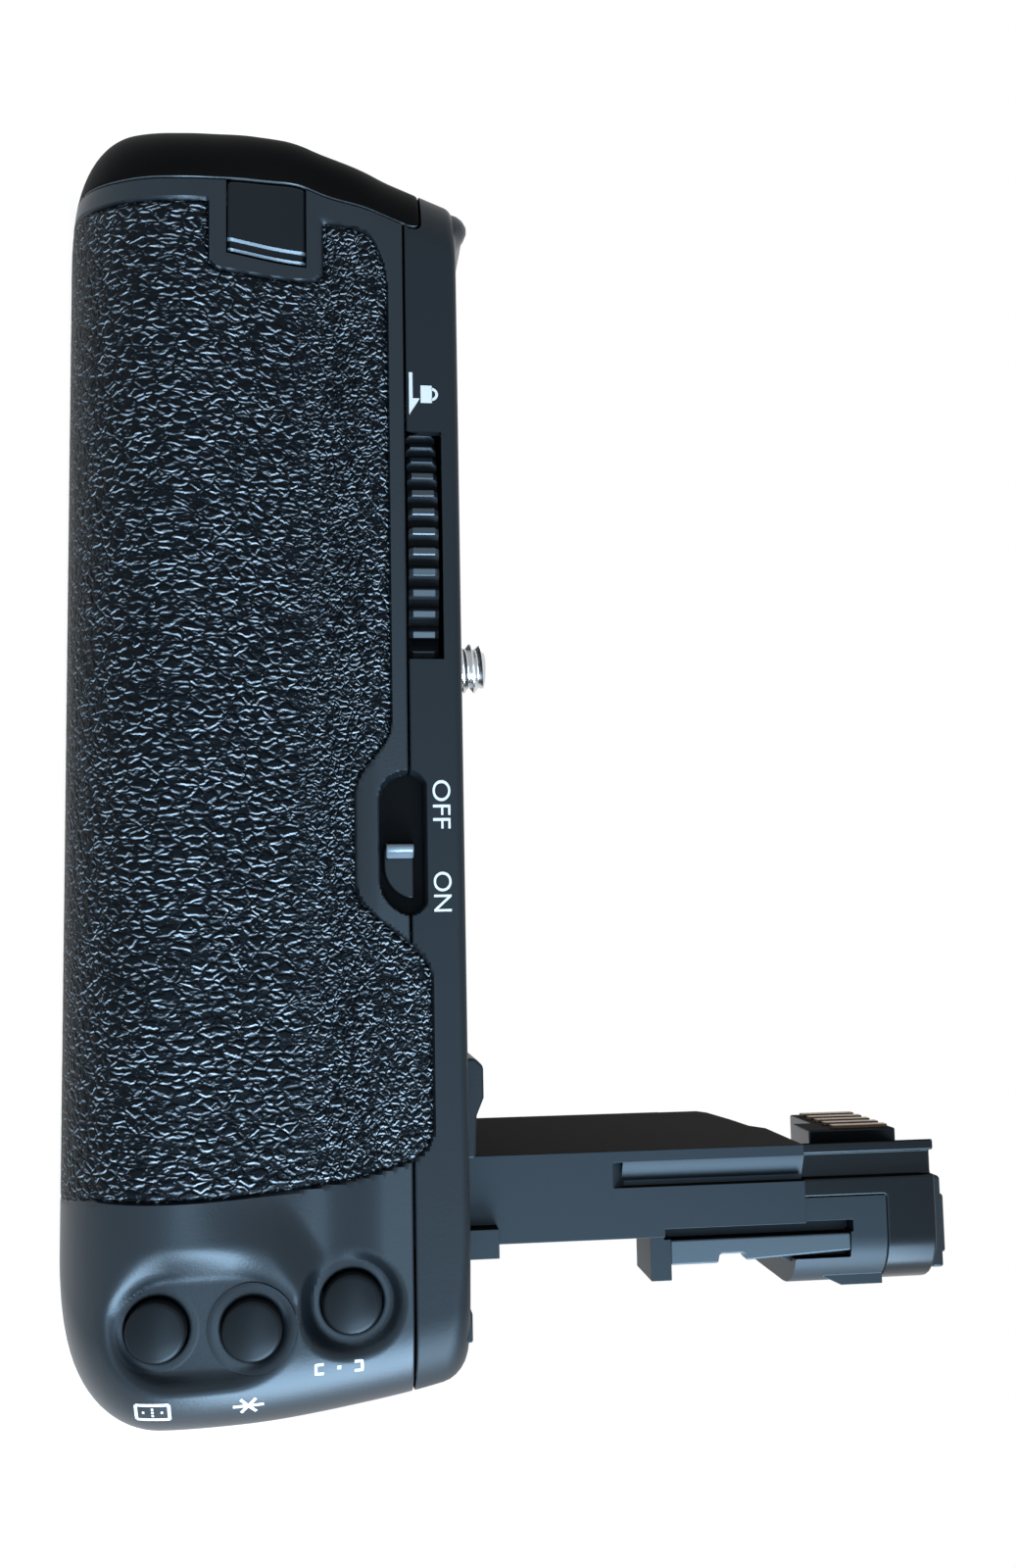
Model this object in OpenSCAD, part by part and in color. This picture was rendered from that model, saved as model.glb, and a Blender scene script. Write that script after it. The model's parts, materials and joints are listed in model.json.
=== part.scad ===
// Camera battery grip: a vertical grip that screws to a camera's base.
// X runs along the grip to the button end, Y from the rear wall to the front, Z up to the camera.
// The origin is on the tripod thread's axis, at the base.

/* [Body] */
// Clamp screw axis to the magazine end
end_left = 58; // [56:0.5:62]
// Length of the button bay, up to the button end
bay_l = 18.6; // [18:0.1:24]
// Height of the platform above the base
body_h = 44; // [43:0.5:48]
// Clamp screw axis to the rear wall under the platform
wall_rear = 30; // [29:0.5:33]
// How far the palm swell stands behind the rear wall
palm_swell = 3; // [1.5:0.5:5]
// Height of the swell's crest, also its lower radius
swell_h = 13; // [11:0.5:15]
// Depth of the thumb valley under the platform
valley_depth = 1.4; // [0.8:0.2:2]
// Height of the valley's bottom
valley_h = 28.5; // [27:0.5:30]
// Height at which the rear wall turns upright
strip_h = 35; // [34.2:0.2:36]
// Clamp screw axis to the front wall
front_y = 27; // [26.5:0.5:30]
// Clamp screw axis to the front of the hand grip
grip_y = 42; // [38:0.5:46]
// Lower radius of the front wall
front_r = 6; // [3:0.5:8]
// Lower radius of the hand grip
grip_r = 12; // [8:0.5:14]
// Backward lean of the hand grip's front, over the whole height
grip_lean = 2; // [0:0.5:4]
// Where the hand grip starts to swell
grip_x = 16; // [10:1:20]
// Length of the hand grip's flank
grip_flank = 20; // [16:1:24]
// Corner radius of the magazine end, seen from behind
end_r = 10; // [8:0.5:12]
// Lean of the magazine end below the platform, degrees
end_lean = 24; // [20:1:26]
// Corner radius of the button end, seen from behind
heel_r = 11.5; // [9:0.5:13]
// Radius of the button end's crown
crown_r = 90; // [70:5:140]
// Corner radius of the plan
plan_r = 10; // [8:0.5:12]
// Depth of the platform's rim, down to the seam
cover_h = 6; // [5.8:0.1:6.4]
// Thickness of the platform and of the rim
cover_wall = 2; // [1.6:0.1:2.2]
// Least wall of the casings
wall = 1.6; // [1.4:0.1:1.8]
// Height of the lip at the magazine end of the platform
lip_h = 1.5; // [0.5:0.1:2]
// Length of that lip
lip_l = 6; // [4:0.5:7]
// Thickness of the leatherette
skin_t = 0.8; // [0.6:0.1:1]

/* [Magazine] */
// Length of one battery pack
pack_l = 56.8; // [55:0.2:57]
// Width of one battery pack
pack_w = 38.8; // [36:0.2:39]
// Thickness of one battery pack
pack_h = 21; // [19:0.2:21.2]
// Wall of the tray
tray_wall = 1.2; // [1:0.1:1.4]
// Running gap round the tray
tray_gap = 0.3; // [0.2:0.05:0.4]
// Height of the chamber's floor
chamber_z = 6.6; // [6.4:0.1:6.8]
// Depth of the end cap, from the end to its seam
cap_depth = 7.8; // [7.4:0.1:8.4]
// How far the end cap reaches above the platform's seam
cap_rise = 2; // [1.4:0.1:2.4]
// Gap at the end cap's seam
seam_gap = 0.2; // [0.1:0.05:0.3]

/* [Latch] */
// Height of the latch's middle
latch_z = 22.75; // [22:0.25:23.5]
// Length of the latch
latch_l = 8.6; // [8:0.1:9]
// Width of the latch
latch_w = 9; // [8:0.1:9.4]
// Thickness of the latch
latch_t = 3; // [2.6:0.1:3.2]
// Radius of the latch pin
latch_pin_r = 0.8; // [0.6:0.05:0.9]
// Thickness of the ears that hold the pin
ear_t = 1.3; // [1:0.1:1.4]

/* [Clamp drive] */
// Gear module
gear_m = 1; // [1:0.05:1.1]
// Teeth inside the lock wheel
ring_teeth = 36; // [36:1:38]
// Teeth on the pinion
pinion_teeth = 16; // [15:1:16]
// Play between the teeth
backlash = 0.24; // [0.2:0.02:0.3]
// Lock wheel's centre, towards the magazine end
wheel_dx = 8; // [7:0.25:8.5]
// How far the ribs stand out of the rear wall
wheel_proud = 0.4; // [0.2:0.1:0.8]
// Thickness of the lock wheel
wheel_t = 3.4; // [3:0.1:3.5]
// Ribs round the lock wheel
rib_count = 66; // [54:2:72]
// Depth of the ribs
rib_h = 1.1; // [0.8:0.1:1.2]
// Width of the wheel's window
window_w = 25.8; // [22:0.2:28]
// Outer radius of the stud
stud_r = 3.175; // [2.9:0.025:3.3]
// Length of the stud above the platform
stud_h = 5.5; // [4.5:0.1:6]
// Radius of the stud's journal in the platform
journal_r = 4; // [3.8:0.1:4.4]
// Radius of the stud's foot in the thrust plate
foot_r = 2.5; // [2:0.1:2.8]
// Running clearance of shafts
run_gap = 0.05; // [0.03:0.01:0.08]

/* [Controls] */
// Middle of the power switch's slot
switch_x = 24.5; // [22:0.5:27]
// Height of the power switch
switch_z = 36.8; // [36.6:0.1:36.9]
// Travel of the power switch
switch_travel = 6; // [4:0.5:7]
// Length of the switch knob
knob_l = 6.3; // [5.5:0.1:6.6]
// Depth of the switch's recess
switch_recess = 2; // [1.6:0.1:2.2]
// Radius of a thumb button
button_r = 3.1; // [2.6:0.1:3.2]
// Travel of a thumb button
button_travel = 0.8; // [0.4:0.1:1]
// Side clearance of buttons in their bores
button_gap = 0.15; // [0.1:0.05:0.2]
// Radius of the shutter button
shutter_r = 5.5; // [5:0.1:5.8]
// Travel of the shutter button
shutter_travel = 1; // [0.6:0.1:1.2]
// Shutter button's place along Y
shutter_y = 14; // [13:0.5:15]
// Height of the shutter button and of the dial's axle
finger_z = 17; // [16.5:0.5:18]
// Radius of the control dial
dial_r = 8.5; // [7.5:0.1:9]
// Width of the control dial
dial_w = 7; // [6:0.2:8]
// Middle of the control dial along Y
dial_y = -1; // [-2:0.5:0]
// Ribs round the control dial
dial_ribs = 32; // [24:2:40]
// Radius of the dial's axle
axle_r = 1.5; // [1.2:0.1:1.8]

/* [Base] */
// Length of the base plate
plate_l = 44; // [36:1:48]
// Width of the base plate
plate_w = 30; // [26:1:34]
// Thickness of the base plate
plate_t = 2; // [1.6:0.1:2.2]
// Radius of the tripod thread's bore
socket_r = 2.6; // [2.5:0.05:2.7]
// Depth of the tripod thread
socket_l = 4.8; // [4.4:0.1:5]

/* [Arm] */
// How far the arm starts before the button bay
arm_inset = 7.9; // [7.4:0.1:8.9]
// Thickness of the arm
arm_t = 9.8; // [9.4:0.1:10.4]
// Arm's rear face, from the screw axis
arm_y = 21; // [20:0.5:22]
// Width of the arm
arm_w = 35; // [33:0.5:36]
// Height of the arm above the platform
arm_h = 58; // [56:0.5:60]
// Thickness of the arm at its nose
nose_t = 16.8; // [15:0.2:18]
// Length of the nose
nose_l = 16; // [14:0.5:18]
// Edge radius of the nose
nose_r = 6; // [4:0.5:7]
// Wall of the arm
arm_wall = 2; // [1.8:0.1:2.2]
// Gap round the arm in the platform
arm_gap = 0.2; // [0.1:0.05:0.3]

/* [Hidden] */
$fn = 48;

// Reach of a cutting shape past the body
past = 1;
// Heights
seam_z = body_h - cover_h;
cap_h = seam_z + cap_rise;
tray_z = chamber_z + tray_gap;
pack_z = tray_z + tray_wall;
chamber_top = pack_z + pack_h + tray_gap;
deck_z = chamber_top + wall;
roof_z = body_h - cover_wall;
// Depths
swell_y = -(wall_rear + palm_swell);
valley_y = -(wall_rear - valley_depth);
pack_fit = 0.2;
chamber_y = pack_w / 2 + pack_fit + tray_wall + tray_gap;
split_y = chamber_y + wall;
shelf_y = -(wall_rear - switch_recess - wall);
// Stations along X
tray_x0 = -end_left + cap_depth - 2.4;
pack_x0 = tray_x0 + tray_wall;
tray_x1 = pack_x0 + 2 * pack_l + 3 * pack_fit + tray_wall;
chamber_x1 = tray_x1 + tray_gap + 0.3;
contact_t = 2.8;
bay_x0 = chamber_x1 + contact_t;
end_right = bay_x0 + bay_l;
arm_x = bay_x0 - arm_inset;
bay_x1 = end_right - 4.5;
bay_z = chamber_z - wall;
lean_r = 30;
lean_z = 18;
crown_z = 20;
// Leatherette edges, seen from behind
skin_top = strip_h + 1.1;
skin_dip = strip_h - 2.9;
skin_tongue = seam_z + 2.2;
skin_x1 = bay_x0 - 6;
skin_margin = 2.4;
pad_ramp = 8;

// Points on an arc round c, from angle a0 to a1
function arc(c, r, a0, a1, n = 12) =
    [for (i = [0:n]) let (a = a0 + (a1 - a0) * i / n) [c.x + r * cos(a), c.y + r * sin(a)]];
// S-curve from p to q that leaves and arrives along the second axis
function ease_up(p, q, n = 8) =
    [for (i = [1:n]) [p.x + (q.x - p.x) * (1 - cos(180 * i / n)) / 2, p.y + (q.y - p.y) * i / n]];
// S-curve from p to q that leaves and arrives along the first axis
function ease_along(p, q, n = 8) =
    [for (i = [0:n]) [p.x + (q.x - p.x) * i / n, p.y + (q.y - p.y) * (1 - cos(180 * i / n)) / 2]];
// Rear face from the base to the platform, in Y and Z
function rear_line(inset) = concat(
    arc([swell_y + swell_h, swell_h], swell_h - inset, 270, 180, 10),
    ease_up([swell_y + inset, swell_h], [valley_y + inset, valley_h], 10),
    ease_up([valley_y + inset, valley_h], [-wall_rear + inset, strip_h], 6),
    [[-wall_rear + inset, body_h]]);
// Front face from the platform to the base, in Y and Z
function front_line(y, r, lean, inset) = concat(
    [[y - lean - inset, body_h]],
    arc([y - r, r], r - inset, 0, -90, 10));
// Magazine end from the base to the lip, in X and Z, moved inwards by shift
function end_line(shift) = let (
    x0 = -end_left + shift,
    foot = [x0 + lean_r * (1 - cos(end_lean)), lean_z + lean_r * sin(end_lean)],
    rise = body_h + lip_h - foot.y)
    concat(
        arc([x0 + end_r, end_r], end_r, 270, 180),
        arc([x0 + lean_r, lean_z], lean_r, 180, 180 - end_lean, 8),
        [[foot.x + rise * tan(end_lean), body_h + lip_h]]);
// Button end from the platform to the base, in X and Z
function heel_line() = concat(
    arc([end_right - crown_r, crown_z], crown_r, asin((body_h + lip_h - crown_z) / crown_r), 0, 8),
    arc([end_right - heel_r, heel_r], heel_r, 0, -90));
// Outline of the body from above
function plan_outline() = let (
    rear = swell_y - past,
    front = front_y + past,
    grip = grip_y + past)
    concat(
        arc([-end_left + plan_r, rear + plan_r], plan_r, 270, 180),
        arc([-end_left + plan_r, front - plan_r], plan_r, 180, 90),
        ease_along([grip_x, front_y], [grip_x + grip_flank, grip], 12),
        arc([end_right - plan_r, grip - plan_r], plan_r, 90, 0),
        arc([end_right - plan_r, rear + plan_r], plan_r, 0, -90));
// Outline of the rear leatherette, in X and Z
function skin_outline() = concat(
    [[-end_left, -past], [-end_left, skin_top]],
    ease_along([switch_x - 13, skin_top], [switch_x - 5.5, skin_dip], 6),
    ease_along([switch_x + 4.5, skin_dip], [switch_x + 14.5, skin_tongue], 8),
    arc([skin_x1 - 6, skin_tongue - 2.4], 2.4, 90, 20, 4),
    [[skin_x1, valley_h], [skin_x1, -past]]);

module block(a, b) {
    translate(a) cube(b - a);
}
// Outline in Y and Z, swept along X
module prism_x(pts, x0, x1) {
    translate([x0, 0, 0]) rotate([90, 0, 90]) linear_extrude(x1 - x0) polygon(pts);
}
// Outline in X and Z, swept along Y
module prism_y(pts, y0, y1) {
    translate([0, y1, 0]) rotate([90, 0, 0]) linear_extrude(y1 - y0) polygon(pts);
}
module rod(p, r, h) {
    translate(p) cylinder(r = r, h = h);
}
// Cylinder along Y from p
module rod_y(p, r, h) {
    translate(p) rotate([-90, 0, 0]) cylinder(r = r, h = h);
}
// Cylinder along X from p
module rod_x(p, r, h) {
    translate(p) rotate([0, 90, 0]) cylinder(r = r, h = h);
}

// Fill of the thumb valley at the button end, ramped in from the leatherette's edge
module thumb_pad() {
    intersection() {
        prism_x(concat([[valley_y + past, swell_h], [swell_y, swell_h]],
            ease_up([swell_y, swell_h], [-wall_rear, strip_h], 12), [[valley_y + past, strip_h]]),
            skin_x1, end_right);
        linear_extrude(body_h) polygon(concat([[skin_x1, valley_y + past]],
            ease_along([skin_x1 + 0.5, valley_y + past / 2], [skin_x1 + pad_ramp, swell_y - past], 8),
            [[end_right + past, swell_y - past], [end_right + past, valley_y + past]]));
    }
}
// Outer form of the closed grip
module body_form() {
    intersection() {
        union() {
            prism_x(concat(rear_line(0), front_line(front_y, front_r, 0, 0)), -end_left - past,
                end_right + past);
            prism_x(concat([[0, 0], [0, body_h]], front_line(grip_y, grip_r, grip_lean, 0)),
                grip_x, end_right + past);
            thumb_pad();
        }
        prism_y(concat(end_line(0), heel_line()), swell_y - past, grip_y + past);
        linear_extrude(body_h) polygon(plan_outline());
    }
}
// Room of the end cap, grown by a margin
module cap_zone(grow) {
    far = -end_left - 2 * cap_depth;
    intersection() {
        prism_y(concat([[far, -past], [-end_left + cap_depth + end_r + grow, -past]],
            end_line(cap_depth + grow), [[far, body_h + lip_h]]), swell_y - past, grip_y + past);
        block([far, swell_y - past, -past], [0, grip_y + past, cap_h + grow]);
    }
}
// Frame of the latch: its middle on the sloping rear face, w outwards
latch_x = -end_left + cap_depth + 0.9 + latch_l / 2;
latch_s = (latch_z - swell_h) / (valley_h - swell_h);
latch_y = swell_y + (valley_y - swell_y) * (1 - cos(180 * latch_s)) / 2;
latch_a = atan((valley_y - swell_y) / (valley_h - swell_h) * PI / 2 * sin(180 * latch_s));
latch_hinge = -latch_l / 2 + latch_t / 2;
module latch_frame() {
    translate([latch_x, latch_y, latch_z]) rotate([90 - latch_a, 0, 0]) children();
}
// Places shared by several pieces
deck_x0 = -end_left + cap_depth + 12;
wheel_a = gear_m * (ring_teeth - pinion_teeth) / 2;
wheel_dy = sqrt(wheel_a * wheel_a - wheel_dx * wheel_dx);
wheel_c = [-wheel_dx, -wheel_dy, 0];
wheel_r = wall_rear - wheel_dy + wheel_proud;
wheel_z0 = seam_z + 0.2;
guide_t = 1.6;
guide_z = seam_z - guide_t;
guide_r = wheel_r - rib_h - 2;
guide_posts = [60, 180, 330];
plate_z = guide_z - 2.8;
thrust_t = 2.4;
thrust_l = 24;
thrust_w = 14;
post_r = 2;
screw_r = 1;
screw_fit = 0.1;
board_t = 1.6;
board_z = deck_z + 1.4;
board_x = [18, arm_x - 3.5];
board_y = 17;
switch_rim = 2.6;
switch_half = 8;
stem_l = 3.6;
stem_h = 1.6;
stem_gap = 0.2;
buttons = [[end_right - 11.6, 11.4], [end_right - 11.3, 21.1], [end_right - 13.1, 31.4]];
dish_r = 7.3;
dish_x = end_right - 12.7;
dish_z = [12.7, 19.3];
dish_y = swell_y + 2.6;
focus_dish_r = 5.4;
focus_dish_y = swell_y + 4.4;
shutter_rim = 1.9;
collar_t = 2;
collar_x = end_right - 1.2;
dial_proud = 0.8;
dial_x = end_right + dial_proud - dial_r;
dial_gap = 0.4;
lug_t = 2;
bush_r = 5.2;
bush_flange = [6.6, 1.2];
base_screw_inset = [5, 4];
grip_screws = [[grip_x + grip_flank + 5, split_y + 7], [end_right - 12, split_y + 7]];
grip_screw_r = 1.25;
grip_screw_head = [2.4, 1.4];
grip_hollow = [grip_x + grip_flank + 10, end_right - 18];
front_screws = [[deck_x0 + 4, deck_z + 3], [4, deck_z + 3]];

// Rear leatherette: a sheet of even thickness on the palm swell, cut round the latch and the switch
module rear_skin() {
    difference() {
        intersection() {
            prism_x(concat(rear_line(0), [for (i = [len(rear_line(skin_t)) - 1:-1:0])
                rear_line(skin_t)[i]]),
                -end_left, skin_x1 + past);
            prism_y(skin_outline(), swell_y - past, swell_y + swell_h);
        }
        cap_zone(skin_margin);
        latch_pocket(1);
    }
}
// Front leatherette on the hand grip
module front_skin() {
    outer = front_line(grip_y, grip_r, grip_lean, 0);
    inner = front_line(grip_y, grip_r, grip_lean, skin_t);
    intersection() {
        prism_x(concat(outer, [for (i = [len(inner) - 1:-1:0]) inner[i]]),
            grip_x + grip_flank + past, end_right - plan_r - past);
        block([grip_x, grip_y - grip_r, 2 * skin_t], [end_right, grip_y + past, seam_z - 2]);
    }
}
// Room for the latch and its ears, open towards the end cap
module latch_pocket(rim) {
    latch_frame()
        block([-latch_l - cap_depth, -latch_w / 2 - ear_t - 0.4 - rim, -latch_t - 1],
            [latch_l / 2 + 0.7 + rim, latch_w / 2 + ear_t + 0.4 + rim, cap_depth]);
}
// Round-ended recess for the power switch, across the seam
module switch_dish() {
    z = switch_z + 0.3;
    for (s = [-1, 1])
        rod_y([switch_x + s * (switch_half - switch_rim), -wall_rear - palm_swell, z], switch_rim,
            palm_swell + switch_recess);
    block([switch_x - switch_half + switch_rim, -wall_rear - palm_swell, z - switch_rim],
        [switch_x + switch_half - switch_rim, -wall_rear + switch_recess, z + switch_rim]);
}
// Dishes round the thumb buttons
module button_dishes() {
    far = swell_y - past;
    for (z = dish_z)
        rod_y([dish_x, far, z], dish_r, dish_y - far);
    block([dish_x - dish_r, far, dish_z[0]], [dish_x + dish_r, dish_y, dish_z[1]]);
    rod_y([buttons[2].x, far, buttons[2].y], focus_dish_r, focus_dish_y - far);
}
// Bearings for the dial's axle, standing on the floor of the button bay
module dial_lugs() {
    for (y = [dial_y - dial_w / 2 - dial_gap - lug_t, dial_y + dial_w / 2 + dial_gap])
        difference() {
            block([dial_x - 2 * axle_r, y, bay_z - past / 2],
                [bay_x1 + past / 2, y + lug_t, finger_z + 2 * axle_r]);
            rod_y([dial_x, y - past, finger_z], axle_r, lug_t + 2 * past);
        }
}
module guide_holes(r, z0, h) {
    for (a = guide_posts)
        rod(wheel_c + [guide_r * cos(a), guide_r * sin(a), z0], r, h);
}

module main_housing() {
    color("#1a1c1f") {
        difference() {
            intersection() {
                body_form();
                block([-end_left - past, swell_y - past, 0], [end_right + past, split_y, seam_z]);
            }
            cap_zone(seam_gap);
            rear_skin();
            latch_pocket(0);
            block([-end_left - past, -chamber_y, chamber_z], [chamber_x1, chamber_y, chamber_top]);
            contact_body(0);
            block([deck_x0, shelf_y, deck_z], [bay_x1, split_y - wall, seam_z + past]);
            block([bay_x0, shelf_y, bay_z], [bay_x1, split_y - wall, seam_z + past]);
            switch_dish();
            block([switch_x - (switch_travel + stem_l) / 2 - stem_gap, -wall_rear,
                switch_z - stem_h / 2 - stem_gap],
                [switch_x + (switch_travel + stem_l) / 2 + stem_gap, shelf_y + past,
                    switch_z + stem_h / 2 + stem_gap]);
            button_dishes();
            for (b = buttons)
                rod_y([b.x, swell_y - past, b.y], button_r + button_gap, shelf_y + past - swell_y + past);
            rod_x([bay_x1 - past, shutter_y, finger_z], shutter_r + button_gap, end_right);
            rod_x([collar_x, shutter_y, finger_z], shutter_r + shutter_rim, end_right);
            block([bay_x1 - past, dial_y - dial_w / 2 - dial_gap, finger_z - dial_r],
                [end_right + past, dial_y + dial_w / 2 + dial_gap, finger_z + dial_r]);
            base_plate_room();
            front_screw_set(screw_r + screw_fit);
        }
        difference() {
            guide_holes(post_r, deck_z - past / 2, guide_z - deck_z + past / 2);
            guide_holes(screw_r + screw_fit, guide_z - 3, guide_t + 3);
        }
        for (s = [-1, 1])
            rod([s * (thrust_l / 2 - post_r), 0, deck_z - past / 2], post_r, plate_z - deck_z + past / 2);
        for (x = [board_x[0] + post_r, board_x[1] - post_r], y = [-board_y + post_r, board_y - post_r])
            rod([x, y, deck_z - past / 2], post_r, board_z - deck_z + past / 2);
        dial_lugs();
    }
}

module front_housing() {
    color("#1a1c1f") difference() {
        intersection() {
            body_form();
            block([-end_left - past, split_y, 0], [end_right + past, grip_y + past, seam_z]);
        }
        cap_zone(seam_gap);
        front_skin();
        block([grip_hollow[0], split_y - past, chamber_z],
            [grip_hollow[1], grip_y - grip_r / 2, seam_z + past]);
        for (p = grip_screws) {
            rod([p.x, p.y, -past], grip_screw_head[0] + screw_fit, past + 2 * grip_screw_head[1]);
            rod([p.x, p.y, 0], grip_screw_r + screw_fit, body_h);
        }
        front_screw_set(screw_r + screw_fit);
        for (p = front_screws)
            rod_y([p.x, front_y - 1.4, p.y], 2 * screw_r + screw_fit, front_y);
    }
}

module top_cover() {
    color("#1d1f22") {
        difference() {
            intersection() {
                body_form();
                block([-end_left - past, swell_y - past, seam_z],
                    [end_right + past, grip_y + past, body_h]);
            }
            cap_zone(seam_gap);
            rear_skin();
            block([deck_x0, -wall_rear + cover_wall, seam_z - past], [bay_x1, split_y - wall, roof_z]);
            block([grip_hollow[0], split_y - past, seam_z - past],
                [grip_hollow[1], grip_y - grip_r / 2, roof_z]);
            rod(wheel_c + [0, 0, seam_z - past], wheel_r + 0.7, past + wheel_z0 - seam_z + wheel_t + 0.2);
            block([wheel_c.x - window_w / 2, -wall_rear - past, seam_z - past],
                [wheel_c.x + window_w / 2, -wall_rear + 3 * cover_wall, wheel_z0 + wheel_t + 0.2]);
            rod([0, 0, seam_z], journal_r + run_gap, cover_h + past);
            block([arm_x - arm_gap, -arm_y - arm_gap, seam_z],
                [arm_x + arm_t + arm_gap, -arm_y + arm_w + arm_gap, body_h + past]);
            block([arm_x - 13, swell_y, body_h - seat_step], [end_right, grip_y, body_h + past]);
            switch_dish();
            for (p = grip_screws)
                rod([p.x, p.y, seam_z - past], grip_screw_r + screw_fit, past + cover_h / 2);
        }
        platform_lip();
        door_keeper();
    }
}
// Step down of the platform beside the arm
seat_step = 0.3;
// Raised lip at the magazine end
module platform_lip() {
    x0 = end_line(0)[len(end_line(0)) - 1].x;
    prism_y([[x0 + 0.4, roof_z], [x0 + 0.4, body_h + lip_h - 0.4], [x0 + 1.4, body_h + lip_h],
        [x0 + 2.6, body_h + lip_h - 0.1], [x0 + lip_l, body_h], [x0 + lip_l, roof_z]],
        -wall_rear + cover_wall, front_y - plan_r);
}
// Ridge that holds the camera's battery door, beside the arm
module door_keeper() {
    z = body_h - seat_step;
    prism_y([[arm_x - 11, z - past], [arm_x - 11, z + 1.2], [arm_x - 10, z + 2.2], [arm_x - 7, z + 2.2],
        [arm_x - 4.6, z + 1.2], [arm_x - arm_gap - 0.3, z + 1], [arm_x - arm_gap - 0.3, z - past]],
        -arm_y - 5, -arm_y + 8);
    block([end_right - 12, -wall_rear + cover_wall, z - past], [end_right - 7, -arm_y, z + 0.6]);
}
module rear_grip_cover() {
    color("#17191c") rear_skin();
}
module front_grip_cover() {
    color("#17191c") front_skin();
}
module housing_screws() {
    color("#3a3d40") {
        for (p = grip_screws)
            translate([p.x, p.y, grip_screw_head[1]]) {
                cylinder(r = grip_screw_head[0], h = grip_screw_head[1]);
                cylinder(r = grip_screw_r, h = seam_z + cover_h / 2 - grip_screw_head[1]);
            }
        front_screw_set(screw_r);
    }
}
// Screws through the front casing, with flat heads when drawn at their own radius
module front_screw_set(r) {
    for (p = front_screws) {
        rod_y([p.x, split_y - wall, p.y], r, front_y - split_y + wall - 1);
        rod_y([p.x, front_y - 1.4, p.y], 2 * r, 1);
    }
}
// Pocket for the base plate and the tripod bush
module base_plate_room() {
    block([-plate_l / 2, -plate_w / 2, -past], [plate_l / 2, plate_w / 2, plate_t]);
    rod([0, 0, 0], bush_flange[0], plate_t + bush_flange[1]);
    rod([0, 0, 0], bush_r, socket_l + 0.2);
    base_screw_places() cylinder(r = screw_r + screw_fit, h = socket_l + 0.2);
}
module base_screw_places() {
    for (x = [-1, 1], y = [-1, 1])
        translate([x * (plate_l / 2 - base_screw_inset.x), y * (plate_w / 2 - base_screw_inset.y), 0])
            children();
}
module base_plate() {
    color("#2a2c2f") difference() {
        block([-plate_l / 2, -plate_w / 2, 0], [plate_l / 2, plate_w / 2, plate_t]);
        rod([0, 0, -past], bush_r, plate_t + 2 * past);
        base_screw_places() {
            translate([0, 0, -past]) cylinder(r = screw_r + screw_fit, h = plate_t + 2 * past);
            translate([0, 0, -past]) cylinder(r = 2 * screw_r + screw_fit, h = plate_t / 2 + past);
        }
    }
}
module base_screws() {
    color("#4a4d50") base_screw_places() {
        translate([0, 0, 0.2]) cylinder(r = 2 * screw_r, h = plate_t / 2 - 0.2);
        translate([0, 0, 0.2]) cylinder(r = screw_r, h = socket_l - 0.2);
    }
}
module tripod_bush() {
    color("#b9bbbd") difference() {
        union() {
            rod([0, 0, 0], bush_r, socket_l + 0.2);
            rod([0, 0, plate_t], bush_flange[0], bush_flange[1]);
        }
        rod([0, 0, -past], socket_r, socket_l + past);
    }
}
module main_board() {
    color("#1f5c3a") {
        block([board_x[0], -board_y, board_z], [board_x[1], board_y, board_z + board_t]);
        block([switch_x - switch_half, shelf_y + 1.4, board_z],
            [switch_x + switch_half, -board_y, board_z + board_t]);
    }
    color("#222222") for (y = [-6, 6])
        block([board_x[1] - 16, y - 4, board_z + board_t],
            [board_x[1] - 6, y + 4, board_z + board_t + 1.2]);
}

// Involute of the base circle rb at radius r, in degrees
function inv_deg(rb, r) = let (a = acos(rb / r)) (tan(a) - a * PI / 180) * 180 / PI;
// Gear outline with teeth from r0 to r1; thick is the tooth's width on the pitch circle
function gear_outline(teeth, thick, r0, r1, steps = 4) = let (
    rp = gear_m * teeth / 2,
    rb = rp * cos(20),
    rs = max(r0, rb),
    half = thick / 2 / rp * 180 / PI + inv_deg(rb, rp),
    radii = [for (i = [0:steps]) rs + (r1 - rs) * i / steps],
    flank = [for (r = radii) [r, half - inv_deg(rb, r)]],
    tooth = concat([[r0, -flank[0][1]]], [for (f = flank) [f[0], -f[1]]],
        [for (i = [steps:-1:0]) flank[i]], [[r0, flank[0][1]]]))
    [for (k = [0:teeth - 1], p = tooth) p[0] * [cos(p[1] + 360 * k / teeth), sin(p[1] + 360 * k / teeth)]];
// Ribbed rim: flat crests with sloping flanks
function rim_outline(ribs, r, depth) = let (step = 360 / ribs)
    [for (k = [0:ribs - 1], q = [[-0.36, depth], [-0.24, 0], [0.24, 0], [0.36, depth]])
        (r - q[1]) * [cos((k + q[0]) * step), sin((k + q[0]) * step)]];

ring_r = gear_m * ring_teeth / 2;
tooth_root = 1.25 * gear_m;
ring_tip = 0.6 * gear_m;
pinion_r = gear_m * pinion_teeth / 2;
pinion_tip = 0.85 * gear_m;
mesh_a = atan2(wheel_dy, wheel_dx);
collar_r = ring_r + tooth_root + 0.5;
collar_h = 1.1;
collar_w = 2.4;
gear_z = wheel_z0 + collar_h + 0.15;
gear_t = wheel_z0 + wheel_t - gear_z - 0.1;
circlip_t = 0.7;
circlip_r = foot_r + 1.7;
thread_pitch = 1.27;

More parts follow.
